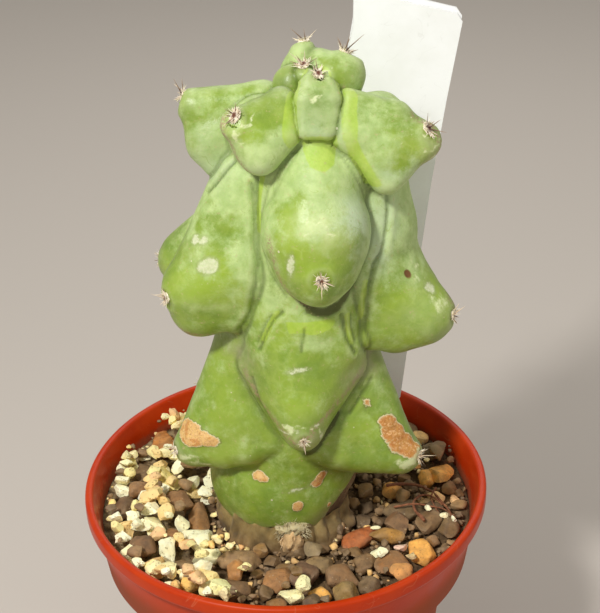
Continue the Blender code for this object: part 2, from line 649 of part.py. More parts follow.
def bed(name, floor, top, margin):
    """The pumice bed's block: a ring sector with upright sides."""
    steps = 20
    inner, outer = PUMICE_INNER_RADIUS - margin, PUMICE_OUTER_RADIUS + margin
    spread = math.degrees(margin / PUMICE_INNER_RADIUS)
    low, high = PUMICE_START - spread, PUMICE_END + spread
    outline = [polar(low + (high - low) * i / steps, outer, floor) for i in range(steps + 1)]
    outline += [polar(high - (high - low) * i / steps, inner, floor) for i in range(steps + 1)]
    bm = bmesh.new()
    face = bm.faces.new([bm.verts.new(point) for point in outline])
    raised = bmesh.ops.extrude_face_region(bm, geom=[face])["geom"]
    lift = [item for item in raised if isinstance(item, bmesh.types.BMVert)]
    bmesh.ops.translate(bm, vec=(0, 0, (top - floor) * MM), verts=lift)
    bmesh.ops.triangulate(bm, faces=bm.faces[:])
    return object_from(name, bm)


def make_soil():
    collar_foot = POT_HEIGHT - COLLAR_DEPTH
    inside = WALL + GAP
    shelf_in = (BODY_TOP_RADIUS - inside, collar_foot - SHELF_DROP + SHELF_SPARE)
    shelf_out = (COLLAR_FOOT_RADIUS - inside, collar_foot + WALL + SHELF_SPARE)
    profile = [(0.0, SOIL_HEIGHT + SOIL_CROWN),
               (SOIL_CROWN_RADIUS, SOIL_HEIGHT + SOIL_CROWN / 2),
               (SOIL_REACH + SHELF_SPARE, SOIL_HEIGHT - SOIL_CROWN / 2), shelf_out, shelf_in,
               (BASE_RADIUS - inside - 0.1, SOIL_FOOT), (0.0, SOIL_FOOT)]
    soil = turned("soil", profile, 48)
    rng = random.Random(SEED)

    def fits(x, y, size):
        radius = math.hypot(x, y)
        if not STEM_HOLE_RADIUS + size * 0.7 < radius < SOIL_REACH - size * 0.65:
            return False
        return not in_pumice(direction_of(x, y), -2) and clear_of_stones(x, y, size)

    grains = [grain(rng, x, y, size, SOIL_HEIGHT)
              for x, y, size in scatter(rng, SOIL_GRAINS, SOIL_GRAIN_SIZE, fits)]
    fuse(soil, grains, "MANIFOLD")
    cut(soil, cone("hole", STEM_HOLE_FOOT_RADIUS, STEM_HOLE_RADIUS, STEM_HOLE_FOOT,
                   SOIL_HEIGHT + 2.0))
    cut(soil, bed("recess", PUMICE_FLOOR, SOIL_HEIGHT + 4, GAP))
    return soil


def make_pumice():
    rng = random.Random(SEED + 2)
    pumice = bed("pumice", PUMICE_FLOOR + GAP, PUMICE_TOP, 0.0)

    def fits(x, y, size):
        radius = math.hypot(x, y)
        edge = math.degrees(size * 0.7 / radius) if radius > 1 else 0
        if not PUMICE_INNER_RADIUS + size * 0.65 < radius < PUMICE_OUTER_RADIUS - size * 0.65:
            return False
        return in_pumice(direction_of(x, y), edge) and clear_of_stones(x, y, size)

    grains = [grain(rng, x, y, size, PUMICE_TOP)
              for x, y, size in scatter(rng, PUMICE_GRAINS, PUMICE_GRAIN_SIZE, fits)]
    fuse(pumice, grains, "MANIFOLD")
    return pumice


def make_stones(soil, pumice):
    for name, (x, y, *_) in STONES.items():
        bedded = in_pumice(direction_of(x, y), -4)
        cut(soil, stone_shape(name, GAP))
        if bedded:
            cut(pumice, stone_shape(name, GAP))
        show(stone_shape(name), "stone_" + name, "stone")


# Labels and the loose root.

def label_outline(margin):
    right = [(x + margin, z) for x, z in LABEL_RIGHT_EDGE]
    left = [(x - LABEL_WIDTH - margin, z) for x, z in LABEL_RIGHT_EDGE[1:]]
    half = LABEL_POINT_HALF + margin
    low = LABEL_FOOT + LABEL_POINT_HEIGHT
    shoulder_left = (LABEL_POINT_X - LABEL_SHOULDER_HALF - margin, LABEL_RIGHT_EDGE[0][1])
    foot = [(LABEL_POINT_X - half, low), (LABEL_POINT_X, LABEL_FOOT - 2 * margin),
            (LABEL_POINT_X + half, low)]
    return right + list(LABEL_TOP) + left[::-1] + [shoulder_left] + foot


def make_label(name, y, lift, margin=0.0):
    """A flat strip: its outline in the upright plane, tilted back a little."""
    outline = bpy.data.curves.new(name, "CURVE")
    outline.dimensions = "2D"
    outline.fill_mode = "BOTH"
    outline.extrude = (LABEL_THICKNESS / 2 + margin) * MM
    points = label_outline(margin)
    line = outline.splines.new("POLY")
    line.points.add(len(points) - 1)
    for point, (x, z) in zip(line.points, points):
        point.co = (x * MM, (z - LABEL_FOOT) * MM, 0.0, 1.0)
    line.use_cyclic_u = True
    flat = bpy.data.objects.new(name, outline)
    bpy.context.scene.collection.objects.link(flat)
    flat.rotation_euler = (math.radians(90 - LABEL_TILT), 0, 0)
    flat.location = Vector((0, y, LABEL_FOOT + lift)) * MM
    return from_curve(flat)


def from_curve(drawn):
    """Turn a curve object into a closed mesh piece in its place."""
    bpy.context.view_layer.update()
    evaluated = drawn.evaluated_get(bpy.context.evaluated_depsgraph_get())
    bm = bmesh.new()
    mesh = bpy.data.meshes.new_from_object(evaluated)
    bm.from_mesh(mesh)
    bpy.data.meshes.remove(mesh)
    bmesh.ops.transform(bm, matrix=drawn.matrix_world, verts=bm.verts[:])
    bmesh.ops.remove_doubles(bm, verts=bm.verts, dist=0.00001)
    name = drawn.name
    bpy.data.objects.remove(drawn)
    return object_from(name, bm)


def make_labels(soil):
    spacing = LABEL_THICKNESS + GAP
    for name, step in (("label_front", 0), ("label_rear", 1)):
        y, lift = LABEL_FOOT_Y + spacing * step, LABEL_LIFT * step
        cut(soil, make_label("slot", y, lift, GAP))
        show(make_label(name, y, lift), name, "label")


def make_root_shape(margin=0.0):
    wire = bpy.data.curves.new("root", "CURVE")
    wire.dimensions = "3D"
    wire.bevel_depth = (ROOT_RADIUS + margin) * MM
    wire.bevel_resolution = 1
    wire.use_fill_caps = True
    line = wire.splines.new("NURBS")
    line.points.add(len(ROOT_PATH) - 1)
    for point, (x, y, z) in zip(line.points, ROOT_PATH):
        point.co = (x * MM, y * MM, z * MM, 1.0)
    line.order_u = 3
    line.use_endpoint_u = True
    line.resolution_u = 3
    drawn = bpy.data.objects.new("root", wire)
    bpy.context.scene.collection.objects.link(drawn)
    return from_curve(drawn)


def main():
    clear_scene()
    make_pot()
    stem = make_stem()
    make_areoles(stem)
    show(stem, "stem", "stem", 60)
    soil = make_soil()
    pumice = make_pumice()
    make_stones(soil, pumice)
    make_labels(soil)
    cut(soil, make_root_shape(GAP))
    show(make_root_shape(), "root_thread", "root", 60)
    for bedding in (soil, pumice):
        drop_scraps(bedding)
    show(soil, "soil", "soil")
    show(pumice, "gravel_pumice", "pumice")


main()
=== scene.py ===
"""The looks of a young boobie cactus in its 65 mm nursery pot.

Lengths are millimetres and are scaled once, by MM. A place on the plant is its
direction round the stem in degrees (0 is the front, 90 the right), its distance
out from the stem's leaning axis, and its height above the pot's base.
"""
import math
import random

import bmesh
import bpy
import numpy as np
from mathutils import Matrix, Vector, noise


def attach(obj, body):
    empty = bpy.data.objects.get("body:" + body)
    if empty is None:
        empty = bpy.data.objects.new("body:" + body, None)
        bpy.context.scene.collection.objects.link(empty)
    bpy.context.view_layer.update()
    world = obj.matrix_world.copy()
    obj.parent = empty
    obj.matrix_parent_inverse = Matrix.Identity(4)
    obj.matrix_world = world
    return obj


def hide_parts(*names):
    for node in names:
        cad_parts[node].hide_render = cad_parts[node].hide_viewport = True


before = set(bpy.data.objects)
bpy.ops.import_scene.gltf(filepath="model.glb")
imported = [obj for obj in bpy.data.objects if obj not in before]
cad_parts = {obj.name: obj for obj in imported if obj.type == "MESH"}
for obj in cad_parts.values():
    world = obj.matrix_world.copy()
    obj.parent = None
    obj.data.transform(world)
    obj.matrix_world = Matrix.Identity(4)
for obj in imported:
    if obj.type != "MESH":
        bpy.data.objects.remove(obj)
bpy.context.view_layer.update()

MM = 0.001

# Camera, worked out from the ellipse of the pot's lip.
FRAME_LONG_SIDE_PX = 613
FOCAL_PX = 1500
SENSOR = 36.0
CAMERA_PLACE = (2.89, -200.35, 196.31)
CAMERA_PITCH = 28.73
CAMERA_ROLL = -1.08

# The stem's axis and the balls of its swellings, as the solid stem has them.
SOIL_HEIGHT = 49.0
LEAN = 0.077
AXIS_FOOT = -0.3

CORE = [[(0, 0, 46.2, 7.4), (0, 0, 56, 9.0), (0, 0, 70, 9.0), (0, 0, 90, 10.0),
         (0, 0, 108, 9.5), (0, 0, 117, 6.0)]]
BULB = [[(-90, 0.4, 49.5, 8.6), (-90, 0.8, 57.3, 11.7)]]


def ridge(direction):
    rows = ((3.5, 58, 8.0), (3.5, 68, 8.2), (3.5, 80, 8.8), (3.5, 90, 8.8),
            (3.6, 101, 8.6), (3.5, 110, 7.5), (3.0, 116, 5.2))
    return [[(direction, out, height, radius) for out, height, radius in rows]]


FRONT_RIDGE = [[(4, 3.6, 58, 7.6), (4, 3.6, 68, 8.0), (4, 4.2, 80, 8.4), (4, 4.6, 90, 8.6),
                (4, 4.6, 100, 8.5), (4, 4.2, 110, 7.6), (4, 4.8, 116, 4.8)],
               [(-24, 7.6, 113, 4.2), (30, 8.2, 113, 4.2), (-24, 7.4, 88, 5.2)],
               [(30, 8.2, 113, 4.2), (-24, 7.4, 88, 5.2), (33, 8.8, 86, 5.4)]]


def hanging(direction, root, belly, tip, under):
    at = [(direction, *ball) for ball in (root, belly, tip, under)]
    return [[at[0], at[1], at[2]], [at[1], at[2], at[3]]]


def shoulder(direction, height):
    back = (direction, 7.8, height, 5.0)
    tip = (direction, 14.3, height + 0.2, 3.0)
    sides = [(direction + turn, 10.8, height - 0.8, 3.3) for turn in (-16, 16)]
    return [[back, side, tip] for side in sides]


# Each ridge: its own chain, then its swellings with how softly each one joins it.
RIDGES = {
    "front": (FRONT_RIDGE, [
        (0.3, [[(6, 7.2, 116.2, 3.2), (7, 8.8, 110.6, 5.6), (8, 10.2, 104.2, 7.7),
                (8, 12.3, 100.6, 6.0), (8, 14.3, 98.7, 4.1)]]),
        (1.6, [[(-36, 9.4, 81.6, 3.6), (44, 10.2, 81.0, 3.6), (6, 14.2, 72.8, 2.5)],
               [(-18, 8.6, 84.0, 5.2), (28, 9.0, 83.5, 5.2), (5, 11.8, 77.0, 4.6)],
               [(-12, 6.2, 90, 6.2), (20, 6.6, 90, 6.2), (5, 8.6, 82, 6.0)],
               [(5, 6.2, 88, 6.4), (5, 8.4, 82, 6.2), (5, 14.0, 73.8, 3.1)]])]),
    "right": (ridge(68), [
        (0.4, [[(62, 17.0, 116.4, 2.4), (49, 14.2, 111.8, 2.5), (27, 10.5, 118.2, 1.9)],
               [(62, 17.0, 116.4, 2.4), (58, 13.2, 119.6, 2.2), (27, 10.5, 118.2, 1.9)],
               [(58, 13.2, 119.6, 2.2), (34, 8.4, 122.2, 1.8), (27, 10.5, 118.2, 1.9)],
               [(76, 8.6, 115.5, 5.0), (56, 12.6, 115.6, 4.4)],
               [(70, 8.6, 117, 4.4), (44, 8.6, 117.2, 3.6), (56, 12.6, 115.6, 4.0)],
               [(85, 10, 118, 3), (62, 17.0, 116.4, 2.4), (76, 8.6, 115.5, 5)]]),
        (1.2, [[(74, 8.4, 109, 6.2), (76, 8.4, 101, 8.2), (76, 8.4, 95, 9.2), (72, 14.6, 90.6, 6.2),
                (70, 19.4, 88.6, 4.3)],
               [(76, 8.4, 95, 8.6), (70, 19.2, 88.6, 4.3), (68, 15.5, 86.8, 4.4)],
               [(70, 19.2, 88.6, 4.3), (68, 15.5, 86.8, 4.4), (54, 11.6, 87.2, 3.6)],
               [(76, 8.4, 95, 8.6), (54, 11.6, 87.2, 3.6), (60, 9.6, 96, 5.6)]]),
        (1.2, [[(65, 8, 80.5, 5.2), (65, 7.5, 71, 8.2), (65, 18.5, 65.2, 3.0)],
               [(65, 18.5, 65.2, 3.0), (50, 12, 65.0, 3.2), (65, 8, 68, 7)],
               [(65, 18.5, 64.4, 2.8), (38, 11.4, 66.4, 2.8), (60, 8, 70, 6)],
               [(38, 11.4, 66.4, 2.8), (22, 8.6, 68, 4.0), (50, 8, 70, 6)]])]),
    "right_back": (ridge(125), [
        (0.4, shoulder(122, 111)),
        (1.2, hanging(125, (8, 104, 5.8), (8, 93, 9.2), (17.0, 86.5, 4.6), (14.5, 83.8, 4.6))),
        (1.2, hanging(132, (8, 78.5, 5.2), (7.5, 68, 7.8), (15.5, 63, 3.4), (12.5, 61.8, 4.0)))]),
    "back": (ridge(190), [
        (0.4, shoulder(188, 115.5)),
        (1.2, hanging(192, (8, 108, 5.8), (8, 97, 9.2), (17.2, 90.5, 4.6), (14.5, 87.5, 4.8))),
        (1.2, hanging(190, (8, 83.5, 5.2), (7.5, 73, 8.2), (16.6, 66.5, 3.4), (13, 64.6, 4.2)))]),
    "left_back": (ridge(-106), [
        (0.4, [[(-92, 16.4, 119.0, 2.3), (-86, 14.7, 114.0, 2.8), (-98, 7.1, 119.3, 2.6)],
               [(-86, 14.7, 114.0, 2.8), (-84, 12.5, 111.5, 3.0), (-98, 7.1, 119.3, 2.6)],
               [(-92, 16.4, 119.0, 2.3), (-112, 10.5, 114, 3.2), (-98, 7.1, 119.3, 2.6)],
               [(-96, 8, 114, 5.0), (-92, 13, 115, 3.6)]]),
        (1.0, [[(-104, 8, 108, 5.8), (-104, 8, 98, 7.8), (-104, 13.0, 94.6, 5.8),
                (-104, 17.4, 92.8, 4.4)],
               [(-104, 8, 98, 7.8), (-104, 17.4, 92.8, 4.4), (-104, 15, 89.4, 4.8)]]),
        (1.2, hanging(-126, (8, 80.5, 5.0), (7.0, 71, 7.6), (14.6, 66.4, 3.2), (12, 65, 4.0)))]),
    "left": (ridge(-62), [
        (0.4, [[(-46, 14.3, 120.2, 2.2), (-33, 12.9, 115.8, 2.3), (-26, 9.4, 117.4, 2.0)],
               [(-33, 12.9, 115.8, 2.3), (-21, 10.3, 118.5, 1.6), (-26, 9.4, 117.4, 2.0)],
               [(-46, 14.3, 120.2, 2.2), (-34, 8.0, 122.2, 1.8), (-21, 10.3, 118.5, 1.6)],
               [(-34, 8.0, 122.2, 1.8), (-21, 10.3, 118.5, 1.6), (-26, 8.4, 119.0, 2.2)],
               [(-60, 8.0, 117.0, 5.0), (-40, 11.0, 117.2, 4.2)]]),
        (1.0, [[(-72, 8.4, 109, 5.6), (-74, 8.2, 97, 8.8), (-68, 16.4, 93.5, 4.7)],
               [(-74, 8.2, 97, 8.8), (-68, 16.4, 93.5, 4.7), (-68, 15.6, 90.6, 4.6)],
               [(-68, 16.4, 93.5, 4.7), (-68, 15.6, 90.6, 4.6), (-50, 10.4, 90.4, 3.6)],
               [(-74, 8.2, 97, 8.8), (-50, 10.4, 90.4, 3.6), (-60, 9.0, 98, 5.6)]]),
        (1.2, [[(-68, 8, 81.5, 5.2), (-68, 7.5, 71.5, 8.0), (-68, 15.8, 65.6, 3.1)],
               [(-68, 15.8, 65.6, 3.1), (-54, 12.6, 65.8, 2.9), (-66, 7.5, 69, 7.2)],
               [(-54, 12.6, 65.8, 2.9), (-38, 11.2, 67.2, 2.6), (-60, 8, 70, 6)],
               [(-38, 11.2, 67.2, 2.6), (-20, 8.6, 69, 3.8), (-50, 8, 71, 6)]])]),
}
CROWN = [
    [[(-6, 10.3, 119.2, 1.1), (12, 10.5, 119.2, 1.1), (-10, 8.4, 123.2, 1.1)],
     [(12, 10.5, 119.2, 1.1), (-10, 8.4, 123.2, 1.1), (17, 8.6, 123.0, 1.1)],
     [(-10, 8.4, 123.2, 1.1), (17, 8.6, 123.0, 1.1), (-9, 6.4, 125.1, 1.2)],
     [(17, 8.6, 123.0, 1.1), (-9, 6.4, 125.1, 1.2), (19, 6.6, 125.0, 1.2)],
     [(4, 5, 117, 3.2), (4, 6.4, 121.4, 3.0)]],
    [[(-70, 2.5, 118, 3.4), (-68, 3.3, 122.8, 2.6)]],
    [[(-30, 1.5, 119, 3.0), (-35, 2.6, 124.2, 1.6)]],
    [[(100, 2.5, 118, 4.0), (98, 3.9, 123.2, 3.3)],
     [(98, 3.9, 123.2, 3.3), (60, 2.5, 124.0, 2.0)],
     [(98, 3.6, 123.2, 3.2), (170, 1.6, 123.6, 3.4)]],
    [[(-148, 2.2, 118, 4.0), (-148, 2.1, 123.2, 3.6), (-150, 2.9, 125.7, 2.0)]],
]
RIDGE_BLEND = 0.35
CORE_BLEND = 1.6
CHAIN_BLEND = 0.8
CROWN_BLEND = 0.6
SLOPE_STEP = 0.04               # how far apart the skin's slope is measured
FAR = 5.0                       # a distance that stands for "not near"
OUTSIDE = -9.0                  # stands for "nowhere near this mark"


def axis_x(height):
    return AXIS_FOOT + LEAN * (height - SOIL_HEIGHT)


def spot(direction, out, height):
    """A place on the plant in millimetres."""
    turn = math.radians(direction)
    return np.array((axis_x(height) + out * math.sin(turn), -out * math.cos(turn), height))


def rod_distance(p, a, ra, b, rb):
    """Distance to the skin round two balls."""
    along = b - a
    length2 = max(along @ along, 1e-9)
    taper = ra - rb
    slope = length2 - taper * taper
    q = p - a
    y = q @ along
    z = y - length2
    x2 = ((q * length2 - along * y[:, None]) ** 2).sum(1)
    y2, z2 = y * y * length2, z * z * length2
    limit = np.sign(taper) * taper * taper * x2
    side = (np.sqrt(np.maximum(x2 * slope / length2, 0)) + y * taper) / length2 - ra
    past_b = np.sign(z) * slope * z2 > limit
    past_a = np.sign(y) * slope * y2 < limit
    side = np.where(past_a, np.sqrt(x2 + y2) / length2 - ra, side)
    return np.where(past_b, np.sqrt(x2 + z2) / length2 - rb, side)


def web_distance(p, balls):
    """Distance to the skin stretched over three balls."""
    (a, ra), (b, rb), (c, rc) = balls
    d = np.minimum(rod_distance(p, a, ra, b, rb), rod_distance(p, b, rb, c, rc))
    d = np.minimum(d, rod_distance(p, c, rc, a, ra))
    normal = np.cross(b - a, c - a)
    normal /= np.linalg.norm(normal)
    u, v, height = ((p - a) @ np.linalg.inv(np.stack([b - a, c - a, normal], 1)).T).T
    inside = (u > 0) & (v > 0) & (u + v < 1)
    sheet = np.abs(height) - (ra + (rb - ra) * u + (rc - ra) * v)
    return np.where(inside, np.minimum(d, sheet), d)


def blend(a, b, softness):
    """The lower of two distances, rounded where they meet."""
    near = np.maximum(softness - np.abs(a - b), 0.0) / softness
    return np.minimum(a, b) - near * near * softness * 0.25


def patch_distance(p, patch):
    balls = [(spot(*ball[:3]), ball[3]) for ball in patch]
    low = np.min([centre - radius for centre, radius in balls], 0) - FAR
    high = np.max([centre + radius for centre, radius in balls], 0) + FAR
    near = np.all((p > low) & (p < high), 1)
    d = np.full(len(p), FAR)
    if near.any():
        q = p[near]
        if len(balls) == 3:
            found = web_distance(q, balls)
        else:
            found = None
            for (a, ra), (b, rb) in zip(balls[:-1], balls[1:]):
                step = rod_distance(q, a, ra, b, rb)
                found = step if found is None else blend(found, step, CHAIN_BLEND)
        d[near] = np.minimum(found, FAR)
    return d


def group_distance(p, patches, softness=1.2):
    total = None
    for patch in patches:
        d = patch_distance(p, patch)
        total = d if total is None else blend(total, d, softness)
    return total


def stem_distance(p):
    """Distance to the stem's skin, and how close each place is to a groove between ridges."""
    core = blend(group_distance(p, CORE), group_distance(p, BULB), CORE_BLEND)
    parts = []
    for chain, swellings in RIDGES.values():
        d = group_distance(p, chain)
        for softness, patches in swellings:
            d = blend(d, group_distance(p, patches), softness)
        parts.append(d)
    parts += [group_distance(p, patches, CROWN_BLEND) for patches in CROWN]
    parts = np.sort(np.stack(parts), 0)
    total = blend(blend(parts[0], parts[1], RIDGE_BLEND), core, RIDGE_BLEND)
    return total, parts[1] - parts[0]


def pull_to_skin(p, rounds):
    """Moves points on to the skin along its slope."""
    for _ in range(rounds):
        here = stem_distance(p)[0]
        slope = np.stack([(stem_distance(p + axis * SLOPE_STEP)[0] - here) / SLOPE_STEP
                          for axis in np.eye(3)], 1)
        steep = np.maximum((slope ** 2).sum(1), 0.2)
        p = p - slope * np.clip(here / steep, -0.7, 0.7)[:, None]
    return p


# Marks on the skin are drawn by direction and height, unrolled at this radius.
UNROLLED_RADIUS = 13.0

# Creases: depth, half width, height of the lip on the line's left (right if negative), line.
CREASES = [
    (0.28, 0.24, -0.16, [(-45, 110.6), (-42, 108.8), (-38, 105.6), (-36, 102.8), (-31, 99.8),
                         (-30, 97.0), (-32, 94.3), (-34, 91.8), (-37, 89.9), (-44, 87.0)]),
    (0.12, 0.22, 0.0, [(-11, 117.3), (-19, 115.0), (-29, 110.6), (-33, 106.9), (-29, 102.1),
                       (-22, 98.4), (-10, 95.1)]),
    (0.3, 0.22, 0.16, [(55, 109.0), (54, 106.0), (51, 103.6), (49, 102.0), (47, 100.3),
                        (43, 98.9), (41, 97.2), (39, 95.4), (39, 93.6), (41, 91.3),
                        (42, 88.3), (49, 83.7)]),
    (0.12, 0.22, 0.0, [(17, 117.3), (26, 113.8), (36, 110.4), (43, 107.6), (43, 104.6),
                       (40, 101.6), (33, 99.2), (26, 97.4)]),
    (0.34, 0.3, 0.1, [(-12, 92.6), (-17, 91.3), (-21, 89.2), (-25, 86.2)]),
    (0.2, 0.28, 0.0, [(-19, 92.0), (-23, 90.0), (-27, 87.2)]),
    (0.34, 0.3, -0.1, [(25, 91.8), (27, 89.8), (30, 87.6), (36, 85.0)]),
    (0.2, 0.28, 0.0, [(31, 91.6), (32, 89.3), (36, 86.8)]),
    (0.22, 0.26, 0.0, [(2.5, 90.1), (2, 88.5), (1.5, 86.7)]),
    (0.35, 0.3, 0.1, [(-70, 108.2), (-66, 109.7), (-63, 111.5), (-61, 113.4)]),
    (0.3, 0.35, 0.0, [(-30, 80.9), (-24, 77.0), (-14, 73.8)]),
    (0.3, 0.35, 0.0, [(54, 78.5), (47, 76.1), (39, 73.9)]),
]

# Young yellow-green skin with clean borders: each one an outline.
FRESH_SKIN = [
    [(20, 125.5), (22, 121.8), (19.5, 120.0), (19, 118.3), (27, 117.9), (28.5, 119.6),
     (32, 121.7), (36, 123.5), (38, 125.5)],
    [(19.5, 118.6), (24, 116.2), (32, 113.2), (38, 110.9), (40.5, 111.6), (34, 115.0),
     (27.5, 118.3)],
    [(-27, 125.5), (-23, 121.8), (-19, 118.9), (-15, 117.2), (-9, 117.8), (-10, 119.4),
     (-14, 121.5), (-15, 125.5)],
    [(-7, 118.9), (16, 118.9), (18.5, 116.6), (15, 114.9), (8, 114.3), (-1, 114.9), (-7, 116.8)],
    [(-9, 91.2), (22, 91.4), (19, 90.0), (13, 89.4), (7, 89.2), (0, 89.6), (-7, 89.4)],
]
FRESH_LINES = [
    (0.6, [(-35, 112.4), (-37, 109.6), (-36.5, 107.0), (-34, 104.4)]),
    (0.4, [(-15, 92.4), (-19, 90.6), (-23, 87.8)]),
    (0.4, [(29, 91.6), (30, 89.4), (33, 86.8)]),
    (0.35, [(38, 96.6), (37.5, 93.6), (38, 90.4)]),
]

# Oval marks: direction, height, half width, half height.
PALE_SCARS = [(-53, 98.9, 0.95, 1.25), (-7, 102.2, 0.42, 1.8), (66, 93.8, 0.55, 0.8),
              (-63, 102.0, 0.55, 0.7), (-59, 102.3, 0.4, 0.55), (1, 84.0, 1.1, 0.35),
              (-3, 83.6, 0.7, 0.25), (8, 60.6, 1.3, 0.22), (3, 60.1, 0.8, 0.15),
              (15, 73.2, 0.3, 0.7), (12, 75.4, 0.5, 0.25), (1, 74.9, 0.4, 0.25),
              (-6, 74.2, 0.7, 0.2), (142, 98, 0.9, 1.2), (-122, 104, 0.7, 1.0),
              (-160, 92, 1.1, 0.7), (100, 74, 0.9, 0.4), (168, 70, 0.7, 0.4)]
CORK_SCARS = [(-63.5, 69.5, 1.6, 1.7), (-60.5, 68.8, 1.6, 1.4), (-52.5, 68.9, 1.3, 1.0),
              (-57, 69.2, 1.5, 1.1), (56, 71.8, 0.8, 1.0), (57, 69.8, 1.15, 1.6),
              (59, 68.0, 1.25, 1.5), (61.5, 66.6, 1.0, 1.1), (49, 74.9, 0.3, 0.55),
              (-25, 62.5, 1.15, 0.75), (-21.6, 62.2, 1.1, 0.62), (27, 62.0, 1.2, 0.85),
              (23.5, 61.0, 1.2, 0.8), (8, 57.5, 0.95, 0.95), (36, 56.0, 0.45, 0.5),
              (118, 66.5, 1.4, 1.0), (-142, 62.0, 1.2, 0.7), (176, 64.5, 1.5, 0.9),
              (-168, 88.0, 0.9, 0.6)]
BROWN_SPOTS = [(59.5, 96.4, 0.4, 0.62), (-98, 104.0, 0.35, 0.35), (150, 86, 0.4, 0.3)]

# Dry pinkish-brown edges, as lines.
DRY_RIMS = [
    [(-20, 105.0), (-16, 101.2), (-12, 98.9), (-6, 96.3), (3, 94.0)],
    [(-36, 81.6), (-31, 79.5), (-20, 76.7), (-8, 74.9), (0, 72.9)],
    [(44, 80.8), (34, 78.7), (21, 76.9), (11, 75.2), (5, 73.2)],
    [(-48, 121.6), (-47, 119.4), (-43, 116.2), (-36, 114.0)],
    [(60, 120.4), (63, 118.4), (62, 115.6), (58, 113.0)],
    [(-70, 88.4), (-58, 87.2), (-48, 87.0)],
    [(72, 91.4), (74, 87.6), (70, 84.4)],
]

# Where the bulb's skin has dried brown: everything below this line, left to right.
DRIED_FOOT = [(-80, 50.6), (-56, 50.8), (-35, 52.2), (-18, 52.2), (0, 53.4), (16, 51.8),
              (27, 51.6), (34, 52.4), (38, 54.8), (47, 56.2), (56, 57.4), (68, 58.6),
              (82, 57.0), (100, 53.0), (130, 51.0), (180, 51.4), (230, 50.8), (280, 50.6)]

# Soft patches of skin colour and of painted highlight: direction, height, half width, half height,
# how much.
LESS_BLOOM = [(-10, 108, 1.8, 2.4, 0.7), (-4, 109.4, 2.0, 1.8, 0.7), (-2, 103, 3.0, 4.4, 0.95),
              (14, 103, 2.2, 3.6, 0.9), (6, 99.8, 3.6, 3.0, 0.95), (20, 103, 2.0, 4.0, 0.25),
              (-57, 104.6, 2.4, 1.3, 0.85), (-50, 103.4, 2.0, 1.5, 0.85),
              (-49, 100.3, 1.5, 2.6, 0.85), (-51, 95.3, 2.4, 1.8, 0.95), (-56, 94, 2.8, 2.2, 0.95),
              (-70, 97, 3.0, 4.0, 0.75), (-64, 90, 4.0, 3.0, 0.7), (-46, 91.6, 2.6, 1.6, 0.5),
              (55, 93, 3.0, 3.0, 0.7), (49, 89.6, 3.0, 2.4, 0.7), (61, 90.6, 3.0, 3.4, 0.75),
              (68, 88, 3.0, 3.0, 0.6), (46, 95, 1.4, 2.2, 0.5), (55, 98, 1.4, 2.0, 0.4),
              (55, 117.5, 3.0, 2.4, 0.8), (48, 121, 3.2, 1.6, 0.65), (47, 114.4, 1.8, 1.8, 0.45),
              (-38, 122, 2.4, 1.8, 0.55), (-30, 120.6, 2.2, 1.8, 0.8), (-39, 119.3, 1.6, 1.4, 0.5),
              (-25, 122.8, 1.6, 1.4, 0.6), (-85, 121, 3.2, 1.3, 0.5), (-80, 118.4, 1.2, 1.6, 0.7),
              (-90, 116.6, 1.6, 2.6, 0.6), (-84, 114, 2.4, 2.0, 0.4), (3, 81, 7, 5, 0.75),
              (-58, 124.2, 7.0, 2.6, 1.0), (52, 124.6, 7.0, 1.6, 0.85), (4, 124, 2.0, 1.6, 0.5),
              (98, 121.6, 5.0, 2.2, 0.7), (-150, 125, 4.0, 3.0, 0.7), (125, 88, 6, 5, 0.7),
              (192, 91, 6, 5, 0.7), (-168, 91, 6, 5, 0.7), (-104, 94, 5, 5, 0.7),
              (122, 111, 3.5, 3, 0.5), (-172, 115.5, 3.5, 3, 0.5)]
MORE_BLOOM = [(11, 87.8, 3.4, 1.8, 0.9), (5, 107.2, 2.1, 1.7, 1.0), (-38, 95.6, 2.0, 3.4, 0.6),
              (-41, 102, 1.8, 4.4, 0.6), (60, 104, 3.0, 5.0, 0.4), (-30, 70, 2.4, 1.5, 0.4),
              (-14, 64, 3.0, 2.2, 0.35), (-25, 90, 1.8, 2.0, 0.5), (28, 87, 1.5, 2.0, 0.5),
              (-66, 74, 1.8, 4.0, 0.4), (58, 76, 1.8, 3.0, 0.35), (12, 79, 2.2, 1.4, 0.4),
              (46, 61, 2.6, 2.4, 0.3), (-12, 66.5, 2.0, 1.2, 0.4), (20, 66, 2.0, 1.2, 0.3),
              (66, 84.6, 2.6, 1.0, 0.5)]
# Painted highlight: pale patches on the upper parts of the lobes.
PAINTED_HIGHLIGHTS = [(5, 108.0, 2.4, 1.5, 1.0), (13, 106.2, 1.5, 1.7, 0.7), (61, 95.4, 1.4, 1.8, 0.3),
           (57, 91.0, 1.8, 2.0, 0.3), (-60, 99.6, 1.6, 1.6, 0.3), (-50, 92.6, 1.8, 0.8, 0.4)]
